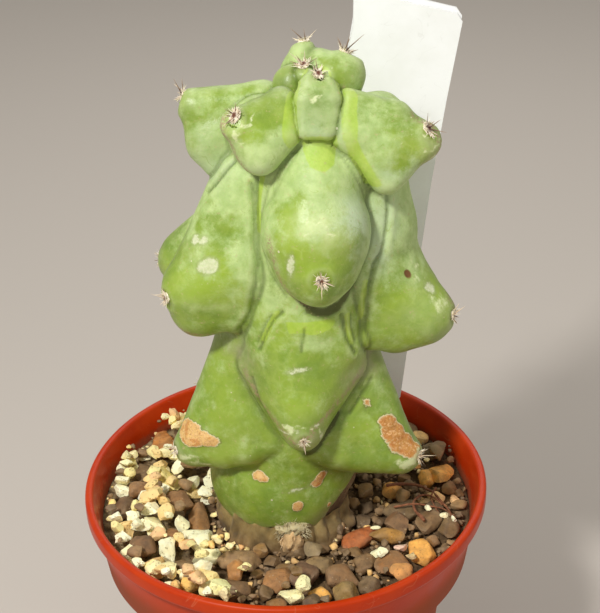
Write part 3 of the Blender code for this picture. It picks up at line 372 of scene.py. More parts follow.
CREAMY = [(61, 65.8, 1.1, 0.8, 1.0), (7, 107.5, 1.0, 0.16, 0.8), (13, 106.5, 0.6, 0.22, 0.8),
          (1, 106.7, 0.6, 0.2, 0.7), (-37.5, 121.2, 0.5, 0.15, 1.0),
          (-38.5, 120.6, 0.35, 0.15, 1.0), (-38, 121.8, 0.15, 0.5, 0.9), (55, 116.4, 0.5, 0.2, 0.9),
          (56, 118.0, 0.3, 0.25, 0.9), (54.5, 114.6, 0.4, 0.2, 0.8), (51, 116.5, 0.3, 0.2, 0.8),
          (47, 118, 0.15, 0.45, 0.8), (57, 117.2, 0.25, 0.3, 0.9), (52.5, 113.6, 0.3, 0.2, 0.7),
          (-44, 119.6, 0.3, 0.9, 0.5), (30, 105.6, 0.6, 1.6, 0.35), (-14, 108.4, 0.6, 1.2, 0.4),
          (3, 123.6, 1.8, 0.3, 0.8), (-39, 119.2, 0.4, 0.9, 0.9), (-36, 118.2, 0.8, 0.25, 0.7),
          (60, 115.6, 0.3, 1.4, 0.8), (63, 117.0, 0.9, 0.3, 0.7), (62, 113.4, 0.7, 0.25, 0.6),
          (-4, 75.2, 1.0, 0.25, 0.9), (5, 75.4, 1.6, 0.22, 0.7), (14, 74.4, 0.3, 0.9, 0.8),
          (-8, 75.6, 0.6, 0.3, 0.6), (-63, 65.4, 1.6, 0.5, 0.8), (-56, 64.2, 1.6, 0.4, 0.7),
          (58, 64.9, 1.2, 0.8, 0.9), (64, 96.5, 0.5, 1.8, 0.6), (65, 92, 0.5, 1.8, 0.6),
          (-52, 96.4, 1.0, 0.5, 0.4), (-67, 84.6, 0.6, 1.2, 0.5), (-40, 121, 1.2, 0.3, 0.5),
          (57, 118.6, 1.6, 0.3, 0.5), (-26, 99.4, 1.0, 0.4, 0.3), (24, 77.6, 0.8, 0.3, 0.4),
          (-30, 58.6, 0.8, 0.5, 0.3), (16, 54.6, 0.8, 0.4, 0.4), (150, 66, 1.4, 0.5, 0.6),
          (-120, 64, 1.6, 0.5, 0.6), (120, 95, 0.6, 1.6, 0.5), (-140, 100, 0.8, 1.4, 0.5),
          (190, 96, 1.4, 1.0, 0.7)]
# Painted shade, a deeper green on the skin: the pillow, the crown's left, under the middle lobe's
# tip.
SHADED = [(4, 122, 4.4, 3.2, 0.62), (-48, 124.4, 3.4, 1.6, 0.7), (-131, 126.8, 3.0, 1.2, 0.2),
          (-75, 115.0, 3.4, 2.6, 0.36), (-84, 117.4, 2.4, 1.6, 0.2), (22, 101.6, 1.6, 2.4, 0.3),
          (8, 75.4, 2.2, 1.2, 0.4), (60, 124.6, 3.0, 1.0, 0.2)]
# Painted shadow, dark on the skin close under the two middle tips: half width, then its line.
SHADOW_UNDER_TIPS = [(0.6, [(-1, 94.9), (4, 93.5)]), (1.0, [(5, 93.2), (10, 92.7), (16, 92.6), (22, 93.2)]),
             (0.7, [(22, 93.2), (26, 94.2), (30, 96.0)]), (0.6, [(11, 67.4), (16, 68.0), (20, 69.2)]),
             (0.45, [(20, 69.2), (24, 70.8), (28, 72.4), (32, 74.2)])]
BLUISH = [(24, 107.4, 2.4, 3.6, 0.9), (18, 102.4, 2.0, 1.8, 0.5), (45, 101.4, 1.5, 4.0, 0.7),
          (52, 106, 2.6, 3.2, 0.5), (-74, 111.4, 3.0, 2.4, 0.45), (-30, 114.5, 1.6, 1.2, 0.4),
          (48, 113.4, 2.0, 1.4, 0.5), (3, 119, 3.0, 1.6, 0.4)]
YELLOWED = [(4, 91.6, 6.5, 2.6, 1.0), (-4, 104.4, 2.6, 3.4, 0.7), (4, 108.5, 3.6, 2.2, 0.55),
            (6, 113.4, 5.0, 2.6, 0.9), (-50, 98.5, 3.4, 4.0, 0.5), (-40, 119.2, 2.2, 2.4, 0.7),
            (54, 116.6, 3.6, 3.2, 0.6), (-20, 89, 2.4, 3.2, 0.5), (30, 89, 2.4, 3.2, 0.5),
            (-80, 116, 3.0, 3.0, 0.4), (62, 93, 4.0, 3.0, 0.4), (2, 79, 4, 3, 0.3),
            (-55, 76, 3.5, 3, 0.25), (55, 72, 3.5, 3, 0.25)]
DUSTY = [(56, 117.0, 1.2, 2.0, 0.45), (46, 80.5, 3.4, 2.0, 1.0), (-44, 83.8, 4.4, 1.6, 0.8),
         (-34, 80.0, 1.6, 3.0, 0.5), (58, 82, 3.0, 1.6, 0.7), (30, 100, 1.2, 4.0, 0.25),
         (8, 73.0, 2.6, 1.8, 0.6), (38, 53.6, 3.4, 2.4, 1.0), (62, 55, 3, 3, 0.6),
         (-35, 52.6, 4.5, 1.4, 0.6), (70, 88, 1.6, 3.4, 0.4), (-70, 66, 1.6, 2.6, 0.5),
         (66, 66, 1.6, 2.6, 0.4), (150, 84, 6, 3, 0.6), (-140, 82, 6, 3, 0.6),
         (-178, 58, 9, 3, 0.5)]

# Areoles: direction, out, height, pad radius, spine count, longest spine, look up, how dark.
AREOLES = {
    "front_crown": (3, 6.4, 125.8, 1.0, 6, 2.4, 50, 0.9),
    "crown_middle": (-40, 2.6, 125.8, 1.2, 7, 3.0, 75, 0.9),
    "crown_right": (105, 4.2, 126.2, 1.2, 6, 3.2, 60, 0.8),
    "crown_back": (-150, 3.0, 127.4, 1.1, 6, 2.6, 65, 0.6),
    "front_left_top": (-43, 14.6, 121.4, 1.15, 7, 2.2, 35, 0.9),
    "left_back_top": (-92, 16.8, 119.8, 1.2, 6, 2.4, 30, 0.5),
    "front_right_top": (60, 16.8, 118.0, 1.3, 8, 2.4, 30, 0.6),
    "front_upper": (7, 15.0, 100.4, 1.15, 7, 2.6, 0, 0.75),
    "left_upper": (-66, 18.0, 92.8, 1.2, 7, 2.2, 5, 0.4),
    "left_back_upper": (-104, 18.5, 92.0, 1.1, 5, 2.0, 5, 0.5),
    "right_upper": (70, 21.0, 88.8, 1.1, 6, 2.2, 5, 0.4),
    "front_lower": (5, 15.2, 73.4, 0.7, 3, 1.6, -5, 0.3),
    "left_lower": (-68, 17.4, 65.4, 1.0, 5, 2.2, 0, 0.3),
    "left_back_lower": (-126, 16.6, 66.2, 1.0, 4, 2.0, 0, 0.5),
    "right_lower": (65, 20.0, 65.0, 1.0, 6, 2.6, 0, 0.3),
    "right_back_top": (122, 15.4, 111.2, 1.1, 6, 2.2, 20, 0.6),
    "right_back_upper": (125, 19.5, 86.5, 1.1, 5, 2.2, 5, 0.5),
    "right_back_lower": (132, 17.0, 63.0, 1.0, 4, 2.0, 0, 0.4),
    "back_top": (188, 15.4, 115.7, 1.1, 6, 2.2, 20, 0.6),
    "back_upper": (192, 19.5, 90.5, 1.1, 5, 2.2, 5, 0.5),
    "back_lower": (190, 18.0, 66.5, 1.0, 4, 2.0, 0, 0.4),
}


def unrolled(p):
    """Where each place lies on the unrolled skin, in millimetres."""
    sideways = p[:, 0] - axis_x(p[:, 2])
    return np.arctan2(sideways, -p[:, 1]) * UNROLLED_RADIUS, p[:, 2]


def on_roll(direction, height):
    turned = (direction + 180.0) % 360.0 - 180.0
    return math.radians(turned) * UNROLLED_RADIUS, height


def line_distance(u, v, line):
    """Distance to a drawn line, with its sign: positive on the line's left."""
    best = np.full(len(u), 1e3)
    side = np.ones(len(u))
    points = [on_roll(*place) for place in line]
    for (ax, ay), (bx, by) in zip(points[:-1], points[1:]):
        ex, ey = bx - ax, by - ay
        along = np.clip(((u - ax) * ex + (v - ay) * ey) / (ex * ex + ey * ey), 0, 1)
        d = np.hypot(u - ax - along * ex, v - ay - along * ey)
        nearer = d < best
        side = np.where(nearer, np.sign(ex * (v - ay) - ey * (u - ax)), side)
        best = np.where(nearer, d, best)
    return best, side


def inside_distance(u, v, outline):
    """How far inside an outline each place is; negative outside."""
    d = line_distance(u, v, outline + outline[:1])[0]
    inside = np.zeros(len(u), bool)
    points = [on_roll(*place) for place in outline]
    for (ax, ay), (bx, by) in zip(points, points[1:] + points[:1]):
        if ay != by:
            crosses = (ay > v) != (by > v)
            inside ^= crosses & (u < (bx - ax) * (v - ay) / (by - ay) + ax)
    return np.where(inside, d, -d)


def oval_distance(u, v, ovals):
    """How far inside the nearest oval each place is; negative outside."""
    best = np.full(len(u), OUTSIDE)
    for direction, height, half_width, half_height in ovals:
        cu, cv = on_roll(direction, height)
        ring = np.hypot((u - cu) / half_width, (v - cv) / half_height)
        best = np.maximum(best, (1 - ring) * min(half_width, half_height))
    return best


def soft_patches(u, v, patches):
    """How much of the nearest soft patches each place has, from 0 to 1."""
    total = np.zeros(len(u))
    for direction, height, half_width, half_height, amount in patches:
        cu, cv = on_roll(direction, height)
        ring = ((u - cu) / half_width) ** 2 + ((v - cv) / half_height) ** 2
        total = 1 - (1 - total) * (1 - amount * np.exp(-ring * 0.9))
    return total


LATTICE = np.random.default_rng(7).random((32, 32, 32))


def lumps(p, size):
    """Smooth noise from -1 to 1, with lumps of about this size."""
    q = p / size
    base = np.floor(q).astype(int)
    f = q - base
    f = f * f * (3 - 2 * f)
    total = np.zeros(len(p))
    for corner in np.ndindex(2, 2, 2):
        c = np.array(corner)
        weight = np.prod(np.where(c, f, 1 - f), 1)
        i, j, k = ((base + c) % 32).T
        total += weight * LATTICE[i, j, k]
    return total * 2 - 1


def waved(values, p, waves):
    """Adds layers of smooth noise: how much, where the noise starts, how large its lumps are."""
    for amount, start, size in waves:
        values = values + amount * lumps(p + start, size)
    return values


def smooth_step(x, low, high):
    t = np.clip((x - low) / (high - low), 0, 1)
    return t * t * (3 - 2 * t)


# Small helpers for meshes.

def new_piece(name, mesh, finish=None):
    piece = bpy.data.objects.new(name, mesh)
    bpy.context.scene.collection.objects.link(piece)
    if finish:
        mesh.materials.clear()
        mesh.materials.append(finish)
    return piece


def settled(piece):
    """What a piece's modifiers make of its mesh."""
    bpy.context.view_layer.update()
    evaluated = piece.evaluated_get(bpy.context.evaluated_depsgraph_get())
    return bpy.data.meshes.new_from_object(evaluated)


def remeshed(node, cell):
    """A solid's surface made again with small even faces of this size."""
    rough = new_piece("rough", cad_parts[node].data.copy())
    remesh = rough.modifiers.new("grid", "REMESH")
    remesh.mode = "VOXEL"
    remesh.voxel_size = cell * MM
    mesh = settled(rough)
    bpy.data.objects.remove(rough)
    return mesh


def triples(rows, field):
    """A field of every vertex, as rows of three numbers."""
    flat = np.empty(len(rows) * 3, np.float32)
    rows.foreach_get(field, flat)
    return flat.reshape(-1, 3).astype(float)


def vertex_array(mesh):
    return triples(mesh.vertices, "co")


def normal_array(mesh):
    return triples(mesh.vertex_normals, "vector")


def move_vertices(mesh, p):
    mesh.vertices.foreach_set("co", (p * MM).astype(np.float32).ravel())
    mesh.update()


def give_attribute(mesh, name, values):
    layer = mesh.attributes.new(name, "FLOAT", "POINT")
    layer.data.foreach_set("value", np.asarray(values, np.float32))


def give_tint(mesh, tints):
    layer = mesh.attributes.new("tint", "FLOAT_COLOR", "POINT")
    colours = np.column_stack([tints, np.ones(len(tints))])
    layer.data.foreach_set("color", colours.astype(np.float32).ravel())


def neighbour_mean(mesh, values):
    """Each vertex's mean over its neighbours."""
    pairs = np.empty(len(mesh.edges) * 2, np.int32)
    mesh.edges.foreach_get("vertices", pairs)
    a, b = pairs.reshape(-1, 2).T
    total = np.zeros_like(values)
    np.add.at(total, a, values[b])
    np.add.at(total, b, values[a])
    count = np.bincount(pairs, minlength=len(values)).astype(float)
    return total / np.maximum(count, 1).reshape(-1, *([1] * (values.ndim - 1)))


def eased(mesh, p, rounds, share):
    """Points drawn towards the mean of their neighbours."""
    for _ in range(rounds):
        p = p + (neighbour_mean(mesh, p) - p) * share
    return p


def around(side, up, turn):
    return side * math.cos(turn) + up * math.sin(turn)


def random_triple(rng, low, high):
    return np.array([rng.uniform(low, high) for _ in range(3)])


def wall_faces(rings, sides):
    """The faces between closed rings of points: two corners below, two above."""
    faces = []
    for i in range(rings - 1):
        for k in range(sides):
            a, b = i * sides + k, i * sides + (k + 1) % sides
            faces.append((a, b, b + sides, a + sides))
    return faces


class Bundle:
    """Gathers many small shapes, in millimetres, into one tinted mesh."""

    def __init__(self):
        self.points, self.faces, self.tints = [], [], []
        self.count = 0

    def add(self, points, faces, tint):
        self.points.append(np.asarray(points, float))
        self.faces += [tuple(i + self.count for i in face) for face in faces]
        tint = np.asarray(tint, float)
        self.tints.append(np.broadcast_to(tint, (len(points), 3)))
        self.count += len(points)

    def mesh(self, name, smooth_angle=40):
        mesh = bpy.data.meshes.new(name)
        points = np.concatenate(self.points) * MM
        mesh.from_pydata(points.tolist(), [], self.faces)
        give_tint(mesh, np.concatenate(self.tints))
        mesh.shade_smooth()
        mesh.set_sharp_from_angle(angle=math.radians(smooth_angle))
        return mesh


def rgb(red, green, blue):
    """A screen colour, 0 to 255, as linear light."""
    channels = [c / 255 for c in (red, green, blue)]
    return tuple(c / 12.92 if c <= 0.04045 else ((c + 0.055) / 1.055) ** 2.4 for c in channels)


# The stem.

STEM_GRID = 0.4
PAD_RING = (0.16, 0.6)          # the swelling round an areole's pad: height, width
PAD_DENT = 0.3                  # the hollow that the pad sits in
GROOVE_DEPTH, GROOVE_WIDTH = 0.18, 0.34
FRESH_LINE_RISE = 0.12
LIP_PLACE, LIP_WIDTH = 0.8, 0.5         # the raised lip beside a crease
CORK_RISE, CORK_LUMPS = 0.16, [(0.2, 0, 0.9)]
SPOT_DENT = 0.2                 # how deep the brown spots lie
SKIN_WAVES = [(0.16, 0, 7.0), (0.07, 40, 2.6), (0.025, 9, 1.1)]
RIM_WIDTH, RIM_OUT = 0.5, (11.4, 12.6)  # dry edges lie only this far out, or further
# The bloom: everywhere, how much more between two heights, how much is worn off far out.
BLOOM_EVERYWHERE = 0.14
BLOOM_HIGHER_UP = [(0.2, 74, 90), (0.42, 86, 102)]
BLOOM_WORN, BLOOM_WORN_OUT = 0.35, (15.5, 20)
# How the borders of the bloom and of the soft patches wander.
BLOOM_SWAY = [(5.0, 0, 5.5)]
SWAY_ACROSS = [(0.9, 11, 2.2), (0.4, 5, 0.9)]
SWAY_UP = [(0.9, 23, 2.2), (0.4, 31, 0.9)]


def bell(distance, width):
    """1 at no distance, falling away softly over the width."""
    return np.exp(-(distance / width) ** 2)


def stem_marks(mesh, p, gap):
    """Masks for the skin's material, one value for each vertex."""
    u, v = unrolled(p)
    fresh = np.full(len(u), OUTSIDE)
    for outline in FRESH_SKIN:
        fresh = np.maximum(fresh, inside_distance(u, v, outline))
    for half_width, line in FRESH_LINES:
        fresh = np.maximum(fresh, half_width - line_distance(u, v, line)[0])
    give_attribute(mesh, "fresh", fresh)
    for name, ovals in (("pale", PALE_SCARS), ("cork", CORK_SCARS), ("brown", BROWN_SPOTS)):
        give_attribute(mesh, name, oval_distance(u, v, ovals))
    give_attribute(mesh, "foot", dried_foot(u, v))
    # Painted shade along the grooves between the ridges and along the creases.
    crease_shade = 0.7 * bell(gap, 0.3) * smooth_step(v, 62, 78)
    for depth, half_width, _, line in CREASES:
        drawn = bell(line_distance(u, v, line)[0], half_width)
        crease_shade = np.maximum(crease_shade, drawn * min(1.0, 0.35 + depth * 1.4))
    give_attribute(mesh, "crease_shade", crease_shade)
    out = np.hypot(p[:, 0] - axis_x(v), p[:, 1])
    rim = np.zeros(len(u))
    for line in DRY_RIMS:
        rim = np.maximum(rim, bell(line_distance(u, v, line)[0], RIM_WIDTH))
    give_attribute(mesh, "rim", rim * smooth_step(out, *RIM_OUT))
    # Painted shadow under the two middle tips, joined below with the painted shade patches.
    shaded = np.zeros(len(u))
    for half_width, line in SHADOW_UNDER_TIPS:
        drawn = smooth_step(line_distance(u, v, line)[0], half_width * 1.25, half_width * 0.5)
        shaded = np.maximum(shaded, 1.2 * drawn * smooth_step(out, 16.4, 15.2))
    # From here on the marks have uneven borders. The bloom is thin on the bulb and the
    # lower swellings, thick from the middle ones up, and worn where they stand out.
    level = waved(v, p, BLOOM_SWAY)
    u, v = waved(u, p, SWAY_ACROSS), waved(v, p, SWAY_UP)
    bloom = BLOOM_EVERYWHERE
    for amount, low, high in BLOOM_HIGHER_UP:
        bloom = bloom + amount * smooth_step(level, low, high)
    bloom *= 1 - BLOOM_WORN * smooth_step(out, *BLOOM_WORN_OUT)
    bloom *= 1 - soft_patches(u, v, LESS_BLOOM)
    give_attribute(mesh, "bloom", np.maximum(bloom, 0.8 * soft_patches(u, v, MORE_BLOOM)))
    give_attribute(mesh, "shaded", np.maximum(shaded, soft_patches(u, v, SHADED)))
    for name, patches in (("yellowed", YELLOWED), ("bluish", BLUISH), ("cream", CREAMY),
                          ("painted_highlight", PAINTED_HIGHLIGHTS), ("dust", DUSTY)):
        give_attribute(mesh, name, soft_patches(u, v, patches))


def dried_foot(u, v):
    """1 where the bulb's skin has dried brown, fading over half a millimetre."""
    turned = (np.degrees(u / UNROLLED_RADIUS) + 80) % 360 - 80
    line = np.array(DRIED_FOOT)
    return smooth_step(np.interp(turned, line[:, 0], line[:, 1]) - v, -0.5, 0.3)


def bend_of_skin(mesh, p, normals, rounds):
    """How far the skin bulges (+) or folds in (-) over a small patch."""
    mean = p
    for _ in range(rounds):
        mean = neighbour_mean(mesh, mean)
    return ((p - mean) * normals).sum(1)


def relief_of_skin(p, gap):
    """How far the skin stands out (+) or lies in (-): grooves, creases, scars, pads."""
    u, v = unrolled(p)
    rise = -GROOVE_DEPTH * bell(gap, GROOVE_WIDTH) * smooth_step(v, 60, 76)
    for depth, half_width, lip, line in CREASES:
        d, side = line_distance(u, v, line)
        rise = rise - depth * bell(d, half_width)
        if lip:
            rise = rise + abs(lip) * bell(side * np.sign(lip) * d - LIP_PLACE, LIP_WIDTH)
    for half_width, line in FRESH_LINES[1:]:
        rise = rise + FRESH_LINE_RISE * bell(line_distance(u, v, line)[0], half_width)
    cork = oval_distance(u, v, CORK_SCARS)
    rise = rise + smooth_step(cork, -0.3, 0.3) * waved(CORK_RISE, p, CORK_LUMPS)
    rise = rise + smooth_step(oval_distance(u, v, PALE_SCARS), -0.3, 0.2) * 0.06 * lumps(p, 0.7)
    rise = rise - smooth_step(oval_distance(u, v, BROWN_SPOTS), -0.2, 0.3) * SPOT_DENT
    rise = waved(rise, p, SKIN_WAVES)
    foot = dried_foot(u, v)
    rise = rise + foot * (0.3 * lumps(p * (1, 1, 0.35), 1.6) + 0.1 * lumps(p, 0.8) - 0.35)
    for direction, out, height, radius, *_ in AREOLES.values():
        d = np.linalg.norm(p - skin_place(direction, out, height, 0)[0], axis=1)
        rise = rise + PAD_RING[0] * bell(d - radius * 1.5, PAD_RING[1])
        rise = rise - PAD_DENT * bell(d, radius * 0.9)
    return rise


def make_stem(finish):
    """The green stem: the solid's own shape, finer, with its marks."""
    mesh = remeshed("stem", STEM_GRID)
    p = pull_to_skin(vertex_array(mesh) / MM, 2)
    p = pull_to_skin(eased(mesh, p, 3, 0.5), 1)
    gap = stem_distance(p)[1]
    move_vertices(mesh, p)
    p = p + normal_array(mesh) * relief_of_skin(p, gap)[:, None]
    move_vertices(mesh, p)
    stem_marks(mesh, p, gap)
    give_attribute(mesh, "bend", bend_of_skin(mesh, p, normal_array(mesh), 5))
    mesh.shade_smooth()
    stem = new_piece("stem_skin", mesh, finish)
    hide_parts("stem")
    return stem


# A look at the skin starts this far out and comes in by steps of its distance.
LOOK_FROM, LOOK_STEP, LOOK_ROUNDS = 9, 0.7, 40


def skin_places(spots, look_up):
    """Where looks at the stem meet its skin, for spots as (direction, out, height)."""
    rise = math.radians(look_up)
    turns = np.radians([direction for direction, _, _ in spots])
    facings = np.column_stack([np.sin(turns) * math.cos(rise), -np.cos(turns) * math.cos(rise),
                               np.full(len(turns), math.sin(rise))])
    places = np.array([spot(*at) for at in spots]) + facings * LOOK_FROM
    for _ in range(LOOK_ROUNDS):
        places = places - facings * LOOK_STEP * stem_distance(places)[0][:, None]
    return places, facings


def skin_place(direction, out, height, look_up):
    places, facings = skin_places([(direction, out, height)], look_up)
    return places[0], facings[0]


# Areoles.

WOOL = rgb(250, 242, 222)
WORN_WOOL = rgb(104, 62, 44)
# Spine colours from root to tip.
DARK_SPINE = (rgb(84, 58, 44), rgb(178, 154, 130))
PALE_SPINE = (rgb(206, 184, 156), rgb(240, 226, 204))
PAD_SHARE = 0.82                # the pad's size beside the table's radius
PAD_FLATNESS = 0.42
WOOL_LUMPS = [(0.22, 0, 0.55), (0.12, 0, 0.25)]
WOOL_THREADS, WOOL_THREAD_RADIUS, WOOL_LENGTHS = 46, 0.06, (0.35, 0.85)
SPINE_RADII, LONG_SPINE_RADIUS = (0.065, 0.1), 0.1
# Shares of the longest spine's length: the first two spines, then the others.
FIRST_SPINES, OTHER_SPINES = (0.6, 0.8), (0.3, 0.6)


def ball_mesh(subdivisions):
    bm = bmesh.new()
    bmesh.ops.create_icosphere(bm, subdivisions=subdivisions, radius=1)
    points = np.array([vert.co[:] for vert in bm.verts])
    faces = [tuple(vert.index for vert in face.verts) for face in bm.faces]
    bm.free()
    return points, faces


BALLS = {level: ball_mesh(level) for level in (1, 2, 3, 4)}


def frame_round(facing):
    """Two directions square to a facing."""
    side = np.cross(facing, (0.0, 0.0, 1.0) if abs(facing[2]) < 0.9 else (1.0, 0.0, 0.0))
    side /= np.linalg.norm(side)
    return side, np.cross(side, facing)


def thread(bundle, root, way, length, radius, bend, tints, rings=5, sides=6):
    """A tapering, slightly bent thread from its root; tints run from root to tip."""
    way = way / np.linalg.norm(way)
    side, up = frame_round(way)
    points, colours = [], []
    low, high = np.array(tints[0]), np.array(tints[1])
    for i in range(rings):
        t = i / rings
        centre = root + way * length * t + bend * length * t * t
        reach = radius * (1 - t) ** 0.6
        points += [centre + around(side, up, math.tau * k / sides) * reach for k in range(sides)]
        colours += [low + (high - low) * t] * sides
    points.append(root + way * length + bend * length)
    colours.append(high)
    tip = rings * sides
    last = tip - sides
    faces = wall_faces(rings, sides)
    faces += [(last + k, last + (k + 1) % sides, tip) for k in range(sides)]
    faces.append(tuple(range(sides))[::-1])
    bundle.add(points, faces, colours)


# The longest spines: areole, how far it leans aside, outwards and up, length, whether dark.
LONG_SPINES = [("crown_right", 0.75, 0.1, 0.62, 3.6, True), ("crown_right", 0.2, 0.3, 1, 2.4, True),
               ("crown_middle", -0.8, 0.3, 0.55, 2.6, False),
               ("crown_back", -0.7, 0.2, 0.5, 2.6, True),
               ("front_upper", -0.1, 0.8, -0.9, 2.6, False),
               ("front_upper", 0.9, 0.5, -0.2, 2.0, False),
               ("front_lower", 0.1, 0.6, -1, 1.9, False),
               ("front_left_top", -0.4, 0.6, -0.9, 2.2, False),
               ("front_right_top", 0.9, 0.3, -0.4, 2.6, True),
               ("front_right_top", 0.7, 0.3, 0.6, 2.2, True),
               ("left_back_top", -0.2, 0.4, 1, 2.6, True),
               ("left_upper", -0.9, 0.5, 0.5, 2.2, False),
               ("right_upper", 0.6, 0.4, 0.9, 2.4, False),
               ("right_lower", 0.9, 0.4, 0.1, 2.6, False)]


def wool_pad(rng, place, facing, side, up, radius, tall, darkness):
    """The felt pad of an areole and its tints: pale wool, worn brown in the middle."""
    ball, faces = BALLS[3]
    seed = random_triple(rng, 0, 30)
    rough = waved(1, ball + seed, WOOL_LUMPS)
    pad = ball * rough[:, None] * (radius * PAD_SHARE)
    wool = (place - facing * 0.12 + np.outer(pad[:, 0], side) + np.outer(pad[:, 1], up) * tall
            + np.outer(pad[:, 2], facing) * PAD_FLATNESS)
    middle = np.exp(-(np.hypot(ball[:, 0], ball[:, 1]) / 0.5) ** 3) * (ball[:, 2] > 0)
    worn = np.clip(middle * (0.8 + darkness) + 0.25 * lumps(ball + seed, 0.3), 0, 1)[:, None]
    light = np.array(WOOL) * (1.0 + 0.12 * lumps(ball + seed, 0.4))[:, None]
    return wool, faces, light * (1 - worn) + np.array(WORN_WOOL) * worn


def make_areole(name, finish):
    """One woolly pad with its threads and dry spines."""
    direction, out, height, radius, count, longest, look_up, darkness = AREOLES[name]
    rng = random.Random("areole " + name)
    place, facing = skin_place(direction, out, height, look_up)
    side, up = frame_round(facing)
    radius *= PAD_SHARE
    bundle = Bundle()
    tall = 1.25 if name == "front_left_top" else 1.1
    bundle.add(*wool_pad(rng, place, facing, side, up, radius, tall, darkness))
    for _ in range(WOOL_THREADS):
        turn, reach = rng.uniform(0, math.tau), radius * rng.uniform(0.6, 1.05)
        outwards = side * math.cos(turn) + up * math.sin(turn) * tall
        root = place + outwards * reach * 0.8 + facing * 0.1
        way = outwards * rng.uniform(0.6, 1.3) + facing * rng.uniform(0.3, 0.9)
        curl = random_triple(rng, -0.5, 0.5)
        thread(bundle, root, way, rng.uniform(*WOOL_LENGTHS), WOOL_THREAD_RADIUS, curl,
               (WOOL, WOOL), 3, 3)
    for i in range(count):
        turn = math.tau * (i + rng.uniform(-0.25, 0.25)) / count + 0.6
        outwards = around(side, up, turn)
        lean = rng.uniform(0.7, 1.15) if i else 0.3
        way = facing * math.cos(lean) + outwards * math.sin(lean)
        bend = outwards * rng.uniform(-0.12, 0.2) + np.array((0, 0, rng.uniform(-0.1, 0.06)))
        tints = DARK_SPINE if rng.random() < darkness * 1.1 - 0.1 else PALE_SPINE
        length = longest * rng.uniform(*(FIRST_SPINES if i < 2 else OTHER_SPINES))
        thread(bundle, place + outwards * radius * 0.5, way, length, rng.uniform(*SPINE_RADII),
               bend, tints)
    for owner, aside, outwards, upwards, length, dark in LONG_SPINES:
        if owner == name:
            way = np.array((aside, 0, upwards)) + facing * outwards
            tints = DARK_SPINE if dark else PALE_SPINE
            thread(bundle, place, way, length, LONG_SPINE_RADIUS, way * 0.04, tints)
    piece = new_piece("wool_and_spines_" + name, bundle.mesh("wool_" + name), finish)
    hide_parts("areole_" + name)
    return piece


# Lumps of the woody tuft: width, height, depth, how far down, colour, where its noise starts.
TUFT_LUMPS = [(2.4, 1.5, 1.9, -0.6, rgb(214, 202, 158), 3.0),
              (1.7, 2.5, 2.7, 1.7, rgb(232, 196, 144), 8.0)]
TUFT_PLACE = (5, 9.0, 52.4)
TUFT_THREADS, TUFT_THREAD_TINTS = 240, (rgb(190, 178, 136), rgb(226, 218, 184))
# Its stiff spines: which way round and how long.
TUFT_SPINES = [(-2.2, 1.8), (-0.7, 2.2), (-0.25, 1.9), (0.6, 1.6), (2.6, 1.7)]
TUFT_SPINE_TINTS = (rgb(190, 150, 104), rgb(232, 210, 172))


def make_woody_tuft(finish):
    """The old, half rotted areole at the foot of the bulb: grey wool over a tan plug."""
    rng = random.Random("woody tuft")
    place, facing = skin_place(*TUFT_PLACE, 0)
    side, up = frame_round(facing)
    bundle = Bundle()
    ball, faces = BALLS[4]
    for width, tall, deep, drop, tint, seed in TUFT_LUMPS:
        rough = 1 + 0.24 * lumps(ball + seed, 0.5) + 0.14 * lumps(ball * (2, 1, 1) + seed, 0.26)
        lump = ball * rough[:, None]
        points = (place + np.outer(lump[:, 0] * width, side) + np.outer(lump[:, 1] * tall, up)
                  + np.outer(lump[:, 2] * deep - 0.2, facing) - up * drop)
        shade = (0.8 + 0.35 * lumps(ball + seed, 0.35))[:, None]
        bundle.add(points, faces, np.array(tint) * shade)
    for _ in range(TUFT_THREADS):
        turn = rng.uniform(-0.5, math.pi + 0.5)
        outwards = side * math.cos(turn) + up * math.sin(turn) * 0.8
        root = place + outwards * rng.uniform(0.8, 2.5) + facing * rng.uniform(0.2, 0.9)
        way = outwards * rng.uniform(0.2, 1.1) + facing * rng.uniform(0.4, 1.0)
        curl = random_triple(rng, -0.6, 0.6)
        thread(bundle, root, way, rng.uniform(0.45, 1.1), 0.07, curl, TUFT_THREAD_TINTS, 3, 3)
    for turn, length in TUFT_SPINES:
        outwards = around(side, up, turn)
        thread(bundle, place - up * 0.4 + facing * 0.6 + outwards * 0.8, outwards + facing * 0.7,
               length, 0.14, -up * 0.15, TUFT_SPINE_TINTS)
    piece = new_piece("woody_tuft_front_foot", bundle.mesh("woody_tuft"), finish)
    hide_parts("areole_front_foot")
    return piece


# Papery dry skin that flares from the bulb's foot: direction, how far out, how low.
DRY_SKIRT = [(-78, 0.3, 50.2), (-60, 0.9, 49.4), (-46, 1.6, 48.8), (-38, 1.0, 48.8),
             (-26, 2.0, 48.6), (-14, 1.2, 48.6), (-4, 1.6, 48.6), (8, 0.9, 48.8),
             (20, 1.3, 48.6), (30, 2.6, 48.8), (37, 1.8, 48.8), (46, 2.4, 49.0),
             (55, 1.5, 49.0), (63, 1.7, 49.2), (74, 0.6, 49.6)]
SKIRT_TOP = 53.2
SKIRT_TINTS = (rgb(150, 132, 84), rgb(112, 88, 58))
SKIRT_ACROSS, SKIRT_DOWN = 150, 12
SKIRT_WRINKLES = [(1.0, 0, 1.7), (0.7, 0, 0.8), (0.35, 3, 0.45)]
SKIRT_INSIDE = (0.0, 0.25, -0.3)        # from the outer face to the inner one


def sheet_faces(across, down):
    """Both faces of a thin sheet of points and the strip round its edge."""
    row = down + 1
    size = (across + 1) * row
    faces = []
    for i in range(across):
        for k in range(down):
            a = i * row + k
            faces.append((a, a + 1, a + row + 1, a + row))
            faces.append((a + size, a + row + size, a + row + 1 + size, a + 1 + size))
    edge = [i * row for i in range(across + 1)]
    edge += [across * row + k for k in range(1, row)]
    edge += [i * row + down for i in range(across - 1, -1, -1)]
    edge += list(range(down - 1, 0, -1))
    return faces + [(a, b, b + size, a + size) for a, b in zip(edge, edge[1:] + edge[:1])]


